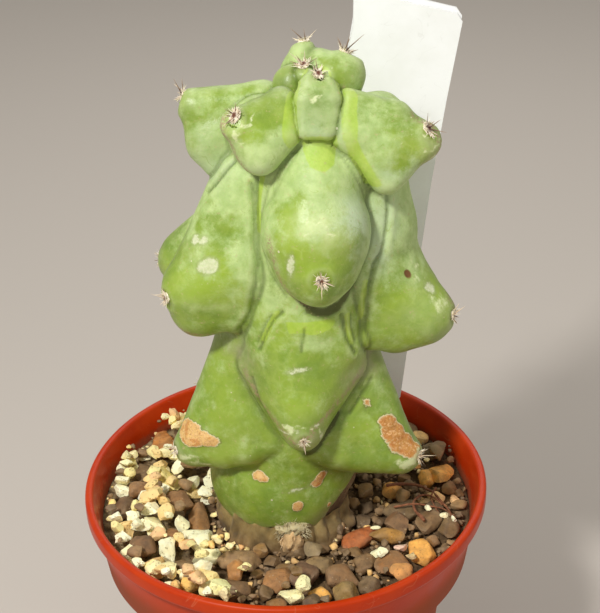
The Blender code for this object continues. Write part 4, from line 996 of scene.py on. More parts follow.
def make_dry_skirt(finish):
    """A torn collar of dead skin round the front of the bulb's foot, 0.3 mm thick."""
    marks = np.array(DRY_SKIRT, float)
    outer, tints = [], []
    directions = np.linspace(marks[0, 0], marks[-1, 0], SKIRT_ACROSS + 1)
    tops = SKIRT_TOP + 0.8 * lumps(directions[:, None] * (0.2, 0, 0), 1.3)
    skins, facings = skin_places([(turn, 9.0, top) for turn, top in zip(directions, tops)], 0)
    for direction, top, skin, facing in zip(directions, tops, skins, facings):
        reach = np.interp(direction, marks[:, 0], marks[:, 1])
        low = np.interp(direction, marks[:, 0], marks[:, 2])
        for k in range(SKIRT_DOWN + 1):
            t = k / SKIRT_DOWN
            place = skin + facing * (reach * t ** 1.4 - 0.2) - (0, 0, (top - low) * t)
            wrinkle = waved(0.0, place[None], SKIRT_WRINKLES)[0]
            outer.append(place + facing * wrinkle * 0.55 * t + (0, 0, 0.35 * wrinkle * t))
            # Random tone, and lighter where the wrinkles stand out: painted light on their crests.
            shade = 0.95 + 0.5 * lumps(place[None] + 7, 1.1)[0] + 0.15 * wrinkle
            tints.append((np.array(SKIRT_TINTS[0]) * (1 - t) + np.array(SKIRT_TINTS[1]) * t)
                         * shade)
    outer = np.array(outer)
    bundle = Bundle()
    bundle.add(np.concatenate([outer, outer + SKIRT_INSIDE]),
               sheet_faces(SKIRT_ACROSS, SKIRT_DOWN), np.array(tints + tints))
    return new_piece("dry_skin_collar", bundle.mesh("collar", 70), finish)


# The ground: potting mix, stones and pumice.

# Directions between which the pale bed lies.
PUMICE_SECTOR = (-142.0, -22.0)
POT_INSIDE = 29.9               # radius inside the pot at the top of the mix
GROUND_CELL = 0.25
GROUND_HALF = 30.0
MIX_BY_STEM = 48.2
MIX_HOLE = 8.6                  # radius of the hole for the stem's foot
MIX_RINGS, MIX_RING_STEP, MIX_SIDES = 52, 0.4, 200
PUMICE_BED_DEPTH = 1.0
PUMICE_PIECES, PUMICE_TRIES = 270, 14000
PUMICE_FROM_STEM = 11.0
PUMICE_LARGEST, PUMICE_SHRINK = 3.4, 2.3
PUMICE_PILE = (0.6, 0.8)        # how high it may pile: at least, and up to this much more
DARK_IN_PUMICE = 0.1            # share of dark stones in the pumice
GRIT_PIECES, GRIT_TRIES = 850, 9000
LARGE_GRIT = 90                 # how many of the first ones are larger stones
LARGE_SIZES, GRIT_SIZES = (2.2, 3.8), (0.5, 1.8)
GRIT_PILE = 0.45
LARGE_KEPT_OUT = 0.8            # share of the larger stones kept out of the pale bed
PALE_GRIT_SHARE = {True: 0.7, False: 0.12}      # in the pale bed and outside it
BED_TOP = 50.5
LABEL_ROOM = (6.5, 22.5, 14.6, 20.4)    # kept clear for the labels: x and y, from and to
NO_ROOM = 9.0
LARGE_STONE = 2.4               # a stone of this width keeps other pieces off its top
STONE_LIFT = 0.35
SOLID_STONE_LEVEL = 48.6        # the mix round the solid stones
# Loose pieces: how flat, how many broken flats, where they cut, the layers of roughness.
BREAKING = {"stone": ((0.62, 0.8), 12, (0.5, 0.86), [(0.09, 0, 0.75), (0.04, 0, 0.33)]),
            "pumice": ((0.7, 0.95), 9, (0.35, 0.8), [(0.22, 0, 0.75), (0.12, 0, 0.33)])}
LISTED_GROWTH, GROWS_FROM = 1.22, 2.5   # the listed pieces wider than this are enlarged

# Loose pieces that lie on the mix: x, y, width, depth and the colour.
SCATTERED = {
    "stone": [(-24.0, 9.0, 2.6, 4.6, 96, 80, 66), (-27.2, -1.6, 3.8, 5.0, 92, 74, 62),
        (-14.2, -1.8, 3.4, 9.0, 128, 98, 72), (-15.6, -15.8, 3.4, 3.4, 98, 80, 62),
        (-8.0, -18.6, 3.0, 3.8, 150, 110, 74), (2.6, -19.2, 4.0, 4.6, 96, 74, 68),
        (8.4, -20.4, 5.2, 4.6, 112, 86, 66), (4.2, -13.6, 2.8, 3.6, 118, 108, 96),
        (8.8, -24.6, 4.2, 3.8, 122, 104, 70), (15.6, -10.8, 5.6, 3.2, 142, 110, 62),
        (16.6, -17.6, 5.0, 4.4, 120, 88, 62), (17.4, -21.0, 3.4, 3.2, 184, 136, 88),
        (17.4, 2.6, 3.0, 2.8, 206, 158, 98), (26.6, 5.6, 3.8, 4.8, 206, 160, 96),
        (24.6, -0.4, 2.8, 2.6, 224, 200, 166), (27.4, -0.8, 2.0, 3.4, 214, 184, 158),
        (17.8, -6.8, 4.4, 4.0, 106, 82, 66), (22.6, -7.4, 4.4, 4.0, 104, 84, 66),
        (25.6, -9.2, 3.4, 3.6, 98, 80, 60), (26.0, 9.6, 3.2, 3.6, 112, 96, 78),
        (21.6, 8.6, 3.0, 3.4, 196, 150, 92), (23.8, 16.2, 3.4, 3.2, 220, 194, 150),
        (22.0, 19.2, 4.2, 4.0, 116, 100, 82), (15.6, 22.8, 3.8, 3.6, 128, 104, 78),
        (-1.8, -26.0, 3.2, 2.6, 120, 92, 66), (12.4, -25.6, 2.8, 2.4, 108, 84, 60)],
    "pumice": [(0.6, -25.2, 3.6, 2.6, 238, 232, 190), (2.2, -24.4, 2.6, 2.6, 232, 226, 180),
        (-6.4, -19.4, 2.4, 1.4, 240, 226, 168), (14.2, -14.6, 2.6, 2.2, 236, 234, 204),
        (14.8, -17.0, 2.2, 1.8, 238, 238, 212), (8.8, -16.4, 1.2, 1.6, 234, 232, 200),
        (22.6, -6.2, 1.2, 1.4, 238, 234, 206), (25.0, -8.0, 1.4, 1.4, 236, 226, 192),
        (26.6, -9.0, 1.0, 1.8, 238, 236, 214), (14.2, -8.4, 1.6, 1.0, 230, 226, 190),
        (17.8, -15.0, 2.6, 1.8, 222, 186, 170), (19.4, -17.2, 2.2, 1.6, 196, 168, 128),
        (-14.5, -9.2, 4.6, 4.8, 240, 238, 208), (-18.6, -13.2, 3.8, 4.6, 238, 234, 206),
        (-21.0, -6.0, 3.6, 5.0, 236, 232, 196), (-20.0, 6.6, 3.8, 4.6, 232, 214, 146),
        (-12.6, -12.8, 3.8, 3.4, 238, 232, 192), (-25.6, -7.6, 3.6, 3.6, 228, 190, 132),
        (-20.6, -16.2, 3.8, 4.2, 216, 176, 122), (-11.8, -21.4, 4.8, 3.2, 224, 196, 138),
        (-16.6, 12.8, 4.6, 4.8, 236, 232, 190), (-10.0, -24.2, 5.2, 3.4, 230, 226, 172)],
}
PUMICE_TINTS = [(240, 236, 206), (236, 230, 192), (232, 218, 158), (242, 240, 218),
                (228, 196, 138), (238, 226, 180), (240, 238, 212), (222, 178, 136)]
DARK_TINTS = [(98, 80, 64), (120, 96, 74), (84, 70, 60), (132, 108, 82), (110, 88, 66)]
PALE_GRIT = [(236, 230, 200), (222, 190, 140), (200, 168, 126)]
STONE_GRID = 0.26
STONE_GROWTH = (1.14, 1.14, 1.08)
STONE_WAVES = [(0.2, 0, 2.1), (0.07, 0, 0.7)]
STONE_SHADES = [(0.14, 0, 2.2), (0.08, 0, 0.7)]
STONE_TINTS = {
    "brown_back_left": (150, 104, 62), "brown_left": (126, 100, 82),
    "brown_by_stem": (122, 94, 72), "brown_front_left": (126, 94, 68),
    "slate_left": (100, 80, 68), "yellow_front_left": (216, 186, 126),
    "slab_by_stem": (128, 108, 92), "brown_front": (134, 100, 74),
    "round_front": (98, 76, 60), "tan_front": (202, 158, 96),
    "grey_front": (118, 102, 84), "grey_front_right": (112, 92, 76),
    "dark_front_right": (98, 84, 74), "red_slab": (150, 88, 56),
    "tan_right": (208, 160, 92), "dark_block": (92, 78, 64),
    "tan_right_back": (204, 158, 96), "grey_right_back": (104, 92, 78),
}


def mix_level(x, y):
    """Height of the mix: it lies low round the stem and climbs to the pot's wall."""
    reach = np.hypot(x, y)
    front = -y / np.maximum(reach, 1.0)
    return MIX_BY_STEM + smooth_step(reach, 11, 29) * (1.9 - 0.9 * front)


class Ground:
    """The height of what already lies in the pot, on a square grid."""

    def __init__(self):
        steps = np.arange(-GROUND_HALF, GROUND_HALF, GROUND_CELL) + GROUND_CELL / 2
        self.x, self.y = np.meshgrid(steps, steps, indexing="ij")
        direction = np.degrees(np.arctan2(self.x, -self.y))
        pale = (direction > PUMICE_SECTOR[0]) & (direction < PUMICE_SECTOR[1])
        self.level = mix_level(self.x, self.y)
        self.height = self.level - np.where(pale, PUMICE_BED_DEPTH, 0) - 0.1
        self.taken = np.zeros(self.x.shape, bool)
        places = np.column_stack([self.x.ravel(), self.y.ravel(), np.full(self.x.size, BED_TOP)])
        self.from_stem = stem_distance(places)[0].reshape(self.x.shape)

    def has_room(self, x, y, size):
        """Whether a loose piece lies inside the pot and clear of the stem and labels."""
        if math.hypot(x, y) > POT_INSIDE - size * 0.6:
            return False
        left, right, front, back = LABEL_ROOM
        if left < x < right and front < y < back:
            return False
        return self.from_stem[self.cell(x, y)] > size * 0.3

    def cell(self, x, y):
        return int((x + GROUND_HALF) / GROUND_CELL), int((y + GROUND_HALF) / GROUND_CELL)

    def piled(self, x, y, size):
        """How far what lies here stands over the mix's own level; high by a large stone."""
        for aside in (-0.35 * size, 0, 0.35 * size):
            if self.taken[self.cell(x + aside, y)] or self.taken[self.cell(x, y + aside)]:
                return NO_ROOM
        cell = self.cell(x, y)
        return self.height[cell] - self.level[cell]

    def drop(self, x, y, width, depth, height, sink, stays_clear):
        """Lays a rounded piece down and returns how high its middle comes to rest."""
        ring = ((self.x - x) / (width / 2)) ** 2 + ((self.y - y) / (depth / 2)) ** 2
        under = ring < 1
        belly = np.sqrt(np.clip(1 - ring[under], 0, 1)) * height / 2
        if not under.any():
            return float(mix_level(x, y))
        middle = np.percentile(self.height[under] + belly, 80) - sink * height
        self.height[under] = np.maximum(self.height[under], middle + belly * 0.9)
        if stays_clear and min(width, depth) > LARGE_STONE:
            self.taken |= ring < 0.9
        return middle


def spin(rng, tip):
    """A random turn about the upright, with some tipping over."""
    way = Matrix.Rotation(rng.uniform(0, math.tau), 3, "Z")
    way = Matrix.Rotation(rng.uniform(-tip, tip), 3, "X") @ way
    return np.array(Matrix.Rotation(rng.uniform(-tip, tip), 3, "Y") @ way)


def broken(level, rng, cuts, depth, roughness):
    """A ball of radius 1 with broken flats and a rough skin."""
    ball, faces = BALLS[level]
    p = ball.copy()
    for _ in range(cuts):
        way = np.array([rng.gauss(0, 1) for _ in range(3)])
        way /= np.linalg.norm(way)
        over = np.clip(p @ way - rng.uniform(*depth), 0, None)
        p = p - np.outer(over * 0.92, way)
    seed = random_triple(rng, 0, 40)
    return p * waved(1, ball + seed, roughness)[:, None], faces


def lay(bundle, ground, rng, x, y, width, depth, tint, kind, level=2, sink=0.12):
    """Drops one loose piece on the ground and adds it to its bundle."""
    flatness, *breaking = BREAKING[kind]
    height = min(width, depth) * rng.uniform(*flatness)
    shape, faces = broken(level + 1 if kind == "stone" else level, rng, *breaking)
    z = ground.drop(x, y, width, depth, height, sink, kind == "stone")
    p = shape @ spin(rng, 0.35).T * (width / 2, depth / 2, height / 2)
    shade = (1 + 0.1 * lumps(p + z, 0.8))[:, None] * np.array(rgb(*tint))
    bundle.add(p + (x, y, z), faces, shade)


def make_stones(ground, finish):
    """The stones of the frame with worn edges and a gritty skin."""
    pieces = []
    for name, tint in STONE_TINTS.items():
        mesh = remeshed("stone_" + name, STONE_GRID)
        p = eased(mesh, vertex_array(mesh) / MM, 2, 0.6)
        low, high = p.min(0), p.max(0)
        middle = (low + high) / 2
        p = (p - middle) * STONE_GROWTH
        lift = float(mix_level(middle[0], middle[1])) - SOLID_STONE_LEVEL
        middle = middle + (0, 0, max(lift, 0.0) + STONE_LIFT)
        width, depth, height = (high - low) * STONE_GROWTH
        p = p + middle
        p = p + normal_array(mesh) * waved(0.0, p, STONE_WAVES)[:, None]
        move_vertices(mesh, p)
        ring = ((ground.x - middle[0]) / width * 2) ** 2 + ((ground.y - middle[1]) / depth * 2) ** 2
        under = ring < 1
        crown = middle[2] + np.sqrt(1 - ring[under]) * height / 2
        ground.height[under] = np.maximum(ground.height[under], crown)
        ground.taken |= ring < 0.85
        shade = waved(1, p, STONE_SHADES)[:, None] * np.array(rgb(*tint))
        give_tint(mesh, shade)
        mesh.shade_smooth()
        piece = new_piece("worn_stone_" + name, mesh, finish)
        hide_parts("stone_" + name)
        pieces.append(piece)
    return pieces


def lay_listed(ground, rng, stones, pumice):
    """The pieces that lie in marked places, drawn inwards where the wall is near."""
    for kind, rows in SCATTERED.items():
        for x, y, width, depth, *tint in rows:
            grown = LISTED_GROWTH if min(width, depth) > GROWS_FROM else 1.0
            room = POT_INSIDE - 0.6 * max(width, depth) * grown
            inwards = min(1.0, room / math.hypot(x, y))
            lay(stones if kind == "stone" else pumice, ground, rng, x * inwards, y * inwards,
                width * grown, depth * grown, tint, kind, 2 if kind == "stone" else 3, 0.02)


def pumice_edge(y):
    """How far to the right the pale bed reaches."""
    return -13 if y > 4 else -18.5 - 0.35 * y


def lay_pumice(ground, rng, stones, pumice):
    """The pale bed: pieces that grow smaller as it fills, a few dark ones among them."""
    laid = 0
    for _ in range(PUMICE_TRIES):
        size = PUMICE_LARGEST - PUMICE_SHRINK * (laid / PUMICE_PIECES) ** 0.8
        size *= rng.uniform(0.8, 1.2)
        turn = math.radians(rng.uniform(PUMICE_SECTOR[0] - 6, PUMICE_SECTOR[1] + 4))
        reach = math.sqrt(rng.uniform(PUMICE_FROM_STEM ** 2, POT_INSIDE ** 2))
        x, y = math.sin(turn) * reach, -math.cos(turn) * reach
        if x > pumice_edge(y) + rng.uniform(-1.5, 1):
            continue
        if not ground.has_room(x, y, size):
            continue
        if ground.piled(x, y, size) > PUMICE_PILE[0] + PUMICE_PILE[1] * rng.random():
            continue
        dark = rng.random() < DARK_IN_PUMICE
        tint = rng.choice(DARK_TINTS if dark else PUMICE_TINTS)
        lay(stones if dark else pumice, ground, rng, x, y, size, size * rng.uniform(0.7, 1.2),
            tint, "stone" if dark else "pumice", 1 if dark else 2, 0.2)
        laid += 1
        if laid == PUMICE_PIECES:
            break


def lay_grit(ground, rng, stones, grit):
    """Larger stones first, then the fine grit between everything."""
    laid = 0
    for _ in range(GRIT_TRIES):
        turn, reach = rng.uniform(0, math.tau), POT_INSIDE * math.sqrt(rng.uniform(0.1, 1))
        x, y = math.sin(turn) * reach, -math.cos(turn) * reach
        large = laid < LARGE_GRIT
        size = rng.uniform(*(LARGE_SIZES if large else GRIT_SIZES))
        if not ground.has_room(x, y, size) or ground.piled(x, y, size) > GRIT_PILE:
            continue
        direction = math.degrees(math.atan2(x, -y))
        pale_side = PUMICE_SECTOR[0] < direction < PUMICE_SECTOR[1]
        if large and pale_side and rng.random() < LARGE_KEPT_OUT:
            continue
        pale = not large and rng.random() < PALE_GRIT_SHARE[pale_side]
        tint = rng.choice((PUMICE_TINTS if pale_side else PALE_GRIT) if pale else DARK_TINTS)
        lay(stones if large else grit, ground, rng, x, y, size, size * rng.uniform(0.75, 1.3),
            tint, "stone" if large else "pumice", 2 if size > 1.3 else 1)
        laid += 1
        if laid == GRIT_PIECES:
            break


def make_loose_pieces(ground, stone_finish, pumice_finish):
    """Everything small on the mix: the scattered pieces, the pumice and the grit."""
    rng = random.Random("loose pieces")
    stones, pumice, grit = Bundle(), Bundle(), Bundle()
    lay_listed(ground, rng, stones, pumice)
    lay_pumice(ground, rng, stones, pumice)
    lay_grit(ground, rng, stones, grit)
    pieces = [new_piece("scattered_stones", stones.mesh("stones"), stone_finish),
              new_piece("pumice_bed", pumice.mesh("pumice", 28), pumice_finish),
              new_piece("fine_grit", grit.mesh("grit", 60), stone_finish)]
    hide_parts("gravel_pumice")
    return pieces


def ring_mesh(name, rings, sides):
    """A closed turned mesh from rings of points; each ring is a function of the turn."""
    points = [ring(math.tau * k / sides) for ring in rings for k in range(sides)]
    faces = [(a, d, c, b) for a, b, c, d in wall_faces(len(rings), sides)]
    last = (len(rings) - 1) * sides
    faces += [tuple(range(sides)), tuple(range(last, last + sides))[::-1]]
    mesh = bpy.data.meshes.new(name)
    mesh.from_pydata((np.array(points) * MM).tolist(), [], faces)
    return mesh


def make_mix(finish):
    """The potting mix: one closed body whose top is rough and falls in round the stem."""
    def ring(radius, height=None, rough=1.0):
        def at(turn):
            x, y = radius * math.sin(turn), -radius * math.cos(turn)
            if height is not None:
                return x, y, height
            direction = math.degrees(math.atan2(x, -y))
            place = Vector((x, y, 0))
            rise = 0.55 * noise.noise(place * 0.8) + 0.3 * noise.noise(place * 2.1)
            if PUMICE_SECTOR[0] < direction < PUMICE_SECTOR[1]:
                rise -= PUMICE_BED_DEPTH
            return x, y, float(mix_level(x, y)) + rise * rough
        return at

    rings = [ring(8.2, 40), ring(MIX_HOLE, 47)]
    rings += [ring(MIX_HOLE + i * MIX_RING_STEP) for i in range(1, MIX_RINGS + 1)]
    rings += [ring(POT_INSIDE, None, 0.4), ring(28.5, 45.0), ring(25.3, 42.3), ring(20.4, 1.7)]
    mesh = ring_mesh("mix", rings, MIX_SIDES)
    mesh.shade_smooth()
    mix = new_piece("potting_mix", mesh, finish)
    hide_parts("soil")
    return mix


# The pot. Corners are (radius, height, rounding).

POT_CORNERS = [(0, 0, 0), (21.8, 0.0, 0.6), (26.6, 43.2, 0.5), (29.7, 43.2, 0.6),
               (31.2, 53.4, 0.4), (32.5, 53.4, 0.7), (32.5, 56.0, 0.6), (31.3, 56.0, 0.5),
               (30.6, 53.8, 0.5), (28.9, 44.4, 0.5), (25.8, 42.2, 0.5), (21.0, 1.0, 0.6),
               (0, 1.0, 0)]
# The soft rim sags: by this much in the middle, and more to the front and the left.
RIM_SAG = 0.8
RIM_TIP = (0.009, 0.017)
POT_SIDES = 192
POT_HEIGHT = 56
POT_MIDDLE = 0.35               # radius of the smallest ring, in the middle of the base
WALL_EASE = 0.06                # keeps the uneven wall inside the pot's true size
DRAIN_HOLES, DRAIN_RADIUS, DRAIN_CIRCLE = 4, 2.6, 13.0


def rounded_profile(corners, steps=5):
    """A profile with each corner turned into a small arc."""
    points = []
    for i, (r, z, rounding) in enumerate(corners):
        here = Vector((r, z))
        if not rounding:
            points.append(here)
            continue
        back = Vector(corners[i - 1][:2]) - here
        on = Vector(corners[i + 1][:2]) - here
        start = here + back.normalized() * rounding
        end = here + on.normalized() * rounding
        for k in range(steps + 1):
            t = k / steps
            points.append(start.lerp(here, t).lerp(here.lerp(end, t), t))
    return points


def make_pot(finish):
    """The moulded pot: rolled lip, collar, tapering body, drain holes in the base."""
    def ring(r, z):
        def at(turn):
            wave = 0.05 * math.sin(2 * turn + 0.7) + 0.03 * math.sin(5 * turn)
            reach = r - WALL_EASE + wave * (z / POT_HEIGHT)
            x, y = reach * math.sin(turn), -reach * math.cos(turn)
            sag = RIM_SAG - RIM_TIP[0] * x - RIM_TIP[1] * y + 0.05 * math.sin(3 * turn + 1.0)
            return x, y, z - sag * smooth_step(z, 20, POT_HEIGHT)
        return at

    rings = [ring(max(point.x, POT_MIDDLE), point.y) for point in rounded_profile(POT_CORNERS)]
    rough = new_piece("moulding", ring_mesh("pot", rings, POT_SIDES), finish)
    holes = []
    for i in range(DRAIN_HOLES):
        turn = math.tau * (i + 0.5) / DRAIN_HOLES
        bpy.ops.mesh.primitive_cylinder_add(
            radius=DRAIN_RADIUS * MM, depth=6 * MM, vertices=40,
            location=(DRAIN_CIRCLE * math.cos(turn) * MM, DRAIN_CIRCLE * math.sin(turn) * MM, 0))
        holes.append(bpy.context.object)
        cut = rough.modifiers.new("drain", "BOOLEAN")
        cut.object = holes[-1]
        cut.solver = "EXACT"
    mesh = settled(rough)
    for thing in holes + [rough]:
        bpy.data.objects.remove(thing)
    mesh.shade_smooth()
    mesh.set_sharp_from_angle(angle=math.radians(35))
    pot = new_piece("moulded_pot", mesh, finish)
    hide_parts("pot")
    return pot


LABEL_EDGE = 0.12


def make_label(name, finish):
    """A bare plant label with softened edges."""
    label = new_piece("plain_" + name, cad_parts[name].data.copy(), finish)
    bevel = label.modifiers.new("edges", "BEVEL")
    bevel.width = LABEL_EDGE * MM
    bevel.segments = 3
    bevel.limit_method = "ANGLE"
    bevel.angle_limit = math.radians(40)
    mesh = settled(label)
    mesh.shade_smooth()
    mesh.set_sharp_from_angle(angle=math.radians(50))
    bpy.data.objects.remove(label)
    label = new_piece("plain_" + name, mesh, finish)
    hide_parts(name)
    return label


ROOT_SIDES = 8
ROOT_TINT = rgb(158, 104, 72)
# Dry roots: how thick, and the path over the mix.
ROOTS = [
    (0.3, [(16.6, 2.4, 50.4), (19.6, 3.0, 51.0), (22.6, 1.6, 51.2), (25.0, -2.4, 51.5),
           (26.4, -5.6, 51.2), (26.6, -8.2, 50.6)]),
    (0.26, [(21.9, -8.8, 50.4), (20.9, -6.4, 51.6), (20.6, -3.6, 52.2), (22.2, -1.6, 52.0),
            (24.0, -2.0, 51.8), (25.2, -3.8, 51.6)]),
    (0.2, [(17.4, -4.2, 51.6), (20.2, -4.4, 52.4), (22.8, -4.2, 51.8), (25.2, -4.6, 51.4),
           (27.2, -6.6, 51.0)]),
    (0.15, [(24.6, 0.6, 51.8), (23.6, -1.8, 51.6), (24.2, -4.6, 51.4), (25.4, -6.4, 50.8)]),
]


def curved_path(points, steps=6):
    """A smooth line through the points."""
    ends = [2 * points[0] - points[1]] + list(points) + [2 * points[-1] - points[-2]]
    line = []
    for a, b, c, d in zip(ends, ends[1:], ends[2:], ends[3:]):
        for k in range(steps):
            t = k / steps
            line.append(0.5 * (2 * b + (c - a) * t + (2 * a - 5 * b + 4 * c - d) * t ** 2
                               + (3 * b - a - 3 * c + d) * t ** 3))
    line.append(np.asarray(points[-1], float))
    return line


def make_roots(ground, finish):
    """The dry root threads, draped over the stones under them."""
    bundle = Bundle()
    for thickness, places in ROOTS:
        line = np.array(curved_path([np.array(place, float) for place in places]))
        rest = [ground.height[ground.cell(x, y)] + thickness * 0.6 for x, y, _ in line]
        line[:, 2] = np.maximum(line[:, 2], rest)
        for _ in range(3):
            line[1:-1, 2] = (line[:-2, 2] + 2 * line[1:-1, 2] + line[2:, 2]) / 4
        points = []
        for i, centre in enumerate(line):
            way = line[min(i + 1, len(line) - 1)] - line[max(i - 1, 0)]
            side, up = frame_round(way / np.linalg.norm(way))
            knot = 1 + 0.25 * lumps(centre[None], 0.9)[0]
            reach = thickness * knot * (1 - 0.6 * i / len(line))
            wander = 0.12 * lumps(centre[None] + 20, 1.3)[0] * up
            points += [centre + wander + around(side, up, math.tau * k / ROOT_SIDES) * reach
                       for k in range(ROOT_SIDES)]
        last = (len(line) - 1) * ROOT_SIDES
        ends = [tuple(range(ROOT_SIDES))[::-1], tuple(range(last, last + ROOT_SIDES))]
        bundle.add(points, wall_faces(len(line), ROOT_SIDES) + ends, ROOT_TINT)
    roots = new_piece("dry_roots", bundle.mesh("roots"), finish)
    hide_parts("root_thread")
    return roots


# Finishes.

class Graph:
    """Adds shader nodes to a material's or a group's tree; place says where noise lies."""

    def __init__(self, tree):
        self.tree, self.place = tree, None

    def feed(self, socket, value):
        if isinstance(value, bpy.types.NodeSocket):
            self.tree.links.new(value, socket)
        else:
            socket.default_value = value

    def node(self, kind, inputs=(), **settings):
        node = self.tree.nodes.new(kind)
        for name, value in settings.items():
            setattr(node, name, value)
        for socket, value in dict(inputs).items():
            self.feed(node.inputs[socket], value)
        return node

    def math(self, operation, *values):
        return self.node("ShaderNodeMath", enumerate(values), operation=operation).outputs[0]

    def times(self, a, b):
        return self.math("MULTIPLY", a, b)

    def plus(self, a, b):
        return self.math("ADD", a, b)

    def less(self, a, b):
        return self.math("SUBTRACT", a, b)

    def mix(self, share, a, b, kind="MIX"):
        colours = [c if isinstance(c, bpy.types.NodeSocket) else (*c, 1) for c in (a, b)]
        node = self.node("ShaderNodeMix", {0: share, 6: colours[0], 7: colours[1]},
                         data_type="RGBA", blend_type=kind)
        return node.outputs[2]

    def over(self, colour, mask, amount, paint):
        """Lays paint over a colour where the mask says, up to this amount."""
        return self.mix(self.times(mask, amount), colour, paint)

    def stained(self, colour, stain):
        return self.mix(1.0, colour, stain, "MULTIPLY")

    def step(self, value, low, high, to_low=0.0, to_high=1.0):
        inputs = {"Value": value, "From Min": low, "From Max": high, "To Min": to_low,
                  "To Max": to_high}
        node = self.node("ShaderNodeMapRange", inputs, interpolation_type="SMOOTHSTEP")
        return node.outputs["Result"]

    def noise(self, scale, **settings):
        inputs = {"Vector": self.place, "Scale": scale, **settings}
        return self.node("ShaderNodeTexNoise", inputs).outputs

    def grain(self, size, detail=4.0, roughness=0.55):
        """Cloudy noise with lumps of about this many millimetres."""
        return self.noise(1 / (size * MM), Detail=detail, Roughness=roughness)["Fac"]

    def mark(self, name):
        """A mask that the mesh carries."""
        return self.node("ShaderNodeAttribute", attribute_name=name).outputs["Fac"]

    def tint(self):
        return self.node("ShaderNodeAttribute", attribute_name="tint").outputs["Color"]

    def axis(self, name):
        return self.node("ShaderNodeSeparateXYZ", {0: self.place}).outputs[name]

    def edges(self, low, high):
        """Edges of the mesh; hollows where low is the higher number."""
        pointed = self.node("ShaderNodeNewGeometry").outputs["Pointiness"]
        return self.step(pointed, low, high)

    def use(self, group, **values):
        node = self.node("ShaderNodeGroup", node_tree=group)
        for socket, value in {"Place": self.place, **values}.items():
            self.feed(node.inputs[socket], value)
        return node.outputs[0]


def shader_group(name, numbers, output, build):
    """A shader group: a place and numbers go in, one mask or height comes out."""
    group = bpy.data.node_groups.new(name, "ShaderNodeTree")
    sockets = group.interface
    sockets.new_socket("Place", in_out="INPUT", socket_type="NodeSocketVector")
    for label, value in numbers.items():
        socket = sockets.new_socket(label, in_out="INPUT", socket_type="NodeSocketFloat")
        socket.default_value = value
    sockets.new_socket(output, in_out="OUTPUT", socket_type="NodeSocketFloat")
    graph = Graph(group)
    entry = graph.node("NodeGroupInput").outputs
    graph.place = entry["Place"]
    leave = graph.node("NodeGroupOutput").inputs
    graph.feed(leave[output], build(graph, entry))
    return group


def scale_of(graph, entry):
    return graph.math("DIVIDE", 1000.0, entry["Size"])


def mottle(graph, entry):
    """Soft uneven patches of a given size."""
    cloud = graph.noise(scale_of(graph, entry), Detail=5.0, Roughness=0.6)["Fac"]
    low = graph.plus(0.5, graph.times(entry["Contrast"], -1.0))
    return graph.step(cloud, low, graph.plus(0.5, entry["Contrast"]))


def specks(graph, entry):
    """Small round specks; Share says how many of the cells hold one."""
    inputs = {"Vector": graph.place, "Scale": scale_of(graph, entry)}
    cells = graph.node("ShaderNodeTexVoronoi", inputs).outputs
    chosen = graph.node("ShaderNodeSeparateColor", {"Color": cells["Color"]}).outputs
    keep = graph.math("LESS_THAN", chosen["Red"], entry["Share"])
    radius = graph.times(entry["Radius"], graph.plus(0.5, chosen["Green"]))
    dot = graph.step(cells["Distance"], radius, graph.times(radius, 0.6))
    return graph.times(dot, keep)


def scratches(graph, entry):
    """Fine wandering lines, only in some places."""
    scale = scale_of(graph, entry)
    line = graph.noise(scale, Detail=2.0, Distortion=1.2)["Fac"]
    thin = graph.step(graph.math("ABSOLUTE", graph.less(line, 0.5)), entry["Width"], 0.0)
    where = graph.noise(graph.times(scale, 2.3))["Fac"]
    return graph.times(thin, graph.step(where, 0.52, 0.6))


def veins(graph, entry):
    """A ragged net of thin lines, only in some places."""
    scale = scale_of(graph, entry)
    sway = graph.node("ShaderNodeVectorMath", {0: graph.noise(scale, Detail=4.0)["Color"],
                                               1: (0.0016, 0.0016, 0.0016)},
                      operation="MULTIPLY").outputs[0]
    moved = graph.node("ShaderNodeVectorMath", {0: graph.place, 1: sway},
                       operation="ADD").outputs[0]
    cells = graph.node("ShaderNodeTexVoronoi", {"Vector": moved, "Scale": scale},
                       feature="DISTANCE_TO_EDGE").outputs
    thin = graph.step(cells["Distance"], entry["Width"], 0.0)
    where = graph.noise(graph.times(scale, 0.7), Detail=3.0)["Fac"]
    return graph.times(thin, graph.step(where, 0.45, 0.6))


def soil_dust(graph, entry):
    """Dust and splashes of the mix, thick at Low and gone at High (millimetres)."""
    height = graph.times(graph.axis("Z"), 1000.0)
    amount = graph.step(height, entry["High"], entry["Low"])
    cover = graph.plus(amount, graph.less(graph.grain(1.4, 6.0, 0.7), 0.62))
    return graph.step(cover, 0.05, 0.5)


def fine_relief(graph, entry):
    """The height of a fine uneven skin."""
    return graph.noise(scale_of(graph, entry), Detail=6.0, Roughness=0.6)["Fac"]


MOTTLE = shader_group("mottle", {"Size": 2.0, "Contrast": 0.2}, "Mask", mottle)
SPECKS = shader_group("specks", {"Size": 0.8, "Share": 0.3, "Radius": 0.25}, "Mask", specks)
SCRATCHES = shader_group("scratches", {"Size": 5.0, "Width": 0.012}, "Mask", scratches)
VEINS = shader_group("veins", {"Size": 2.0, "Width": 0.08}, "Mask", veins)
SOIL_DUST = shader_group("soil dust", {"Low": 49.0, "High": 54.0}, "Mask", soil_dust)
FINE_RELIEF = shader_group("fine relief", {"Size": 0.4}, "Height", fine_relief)


def new_finish(name, gloss, constants=()):
    """The graph of a new material, with constants set on its shader."""
    material = bpy.data.materials.new(name)
    material.use_nodes = True
    graph = Graph(material.node_tree)
    graph.material = material
    graph.shader = material.node_tree.nodes["Principled BSDF"].inputs
    graph.place = graph.node("ShaderNodeTexCoord").outputs["Object"]
    graph.shader["Specular IOR Level"].default_value = gloss
    for socket, value in dict(constants).items():
        graph.shader[socket].default_value = value
    return graph


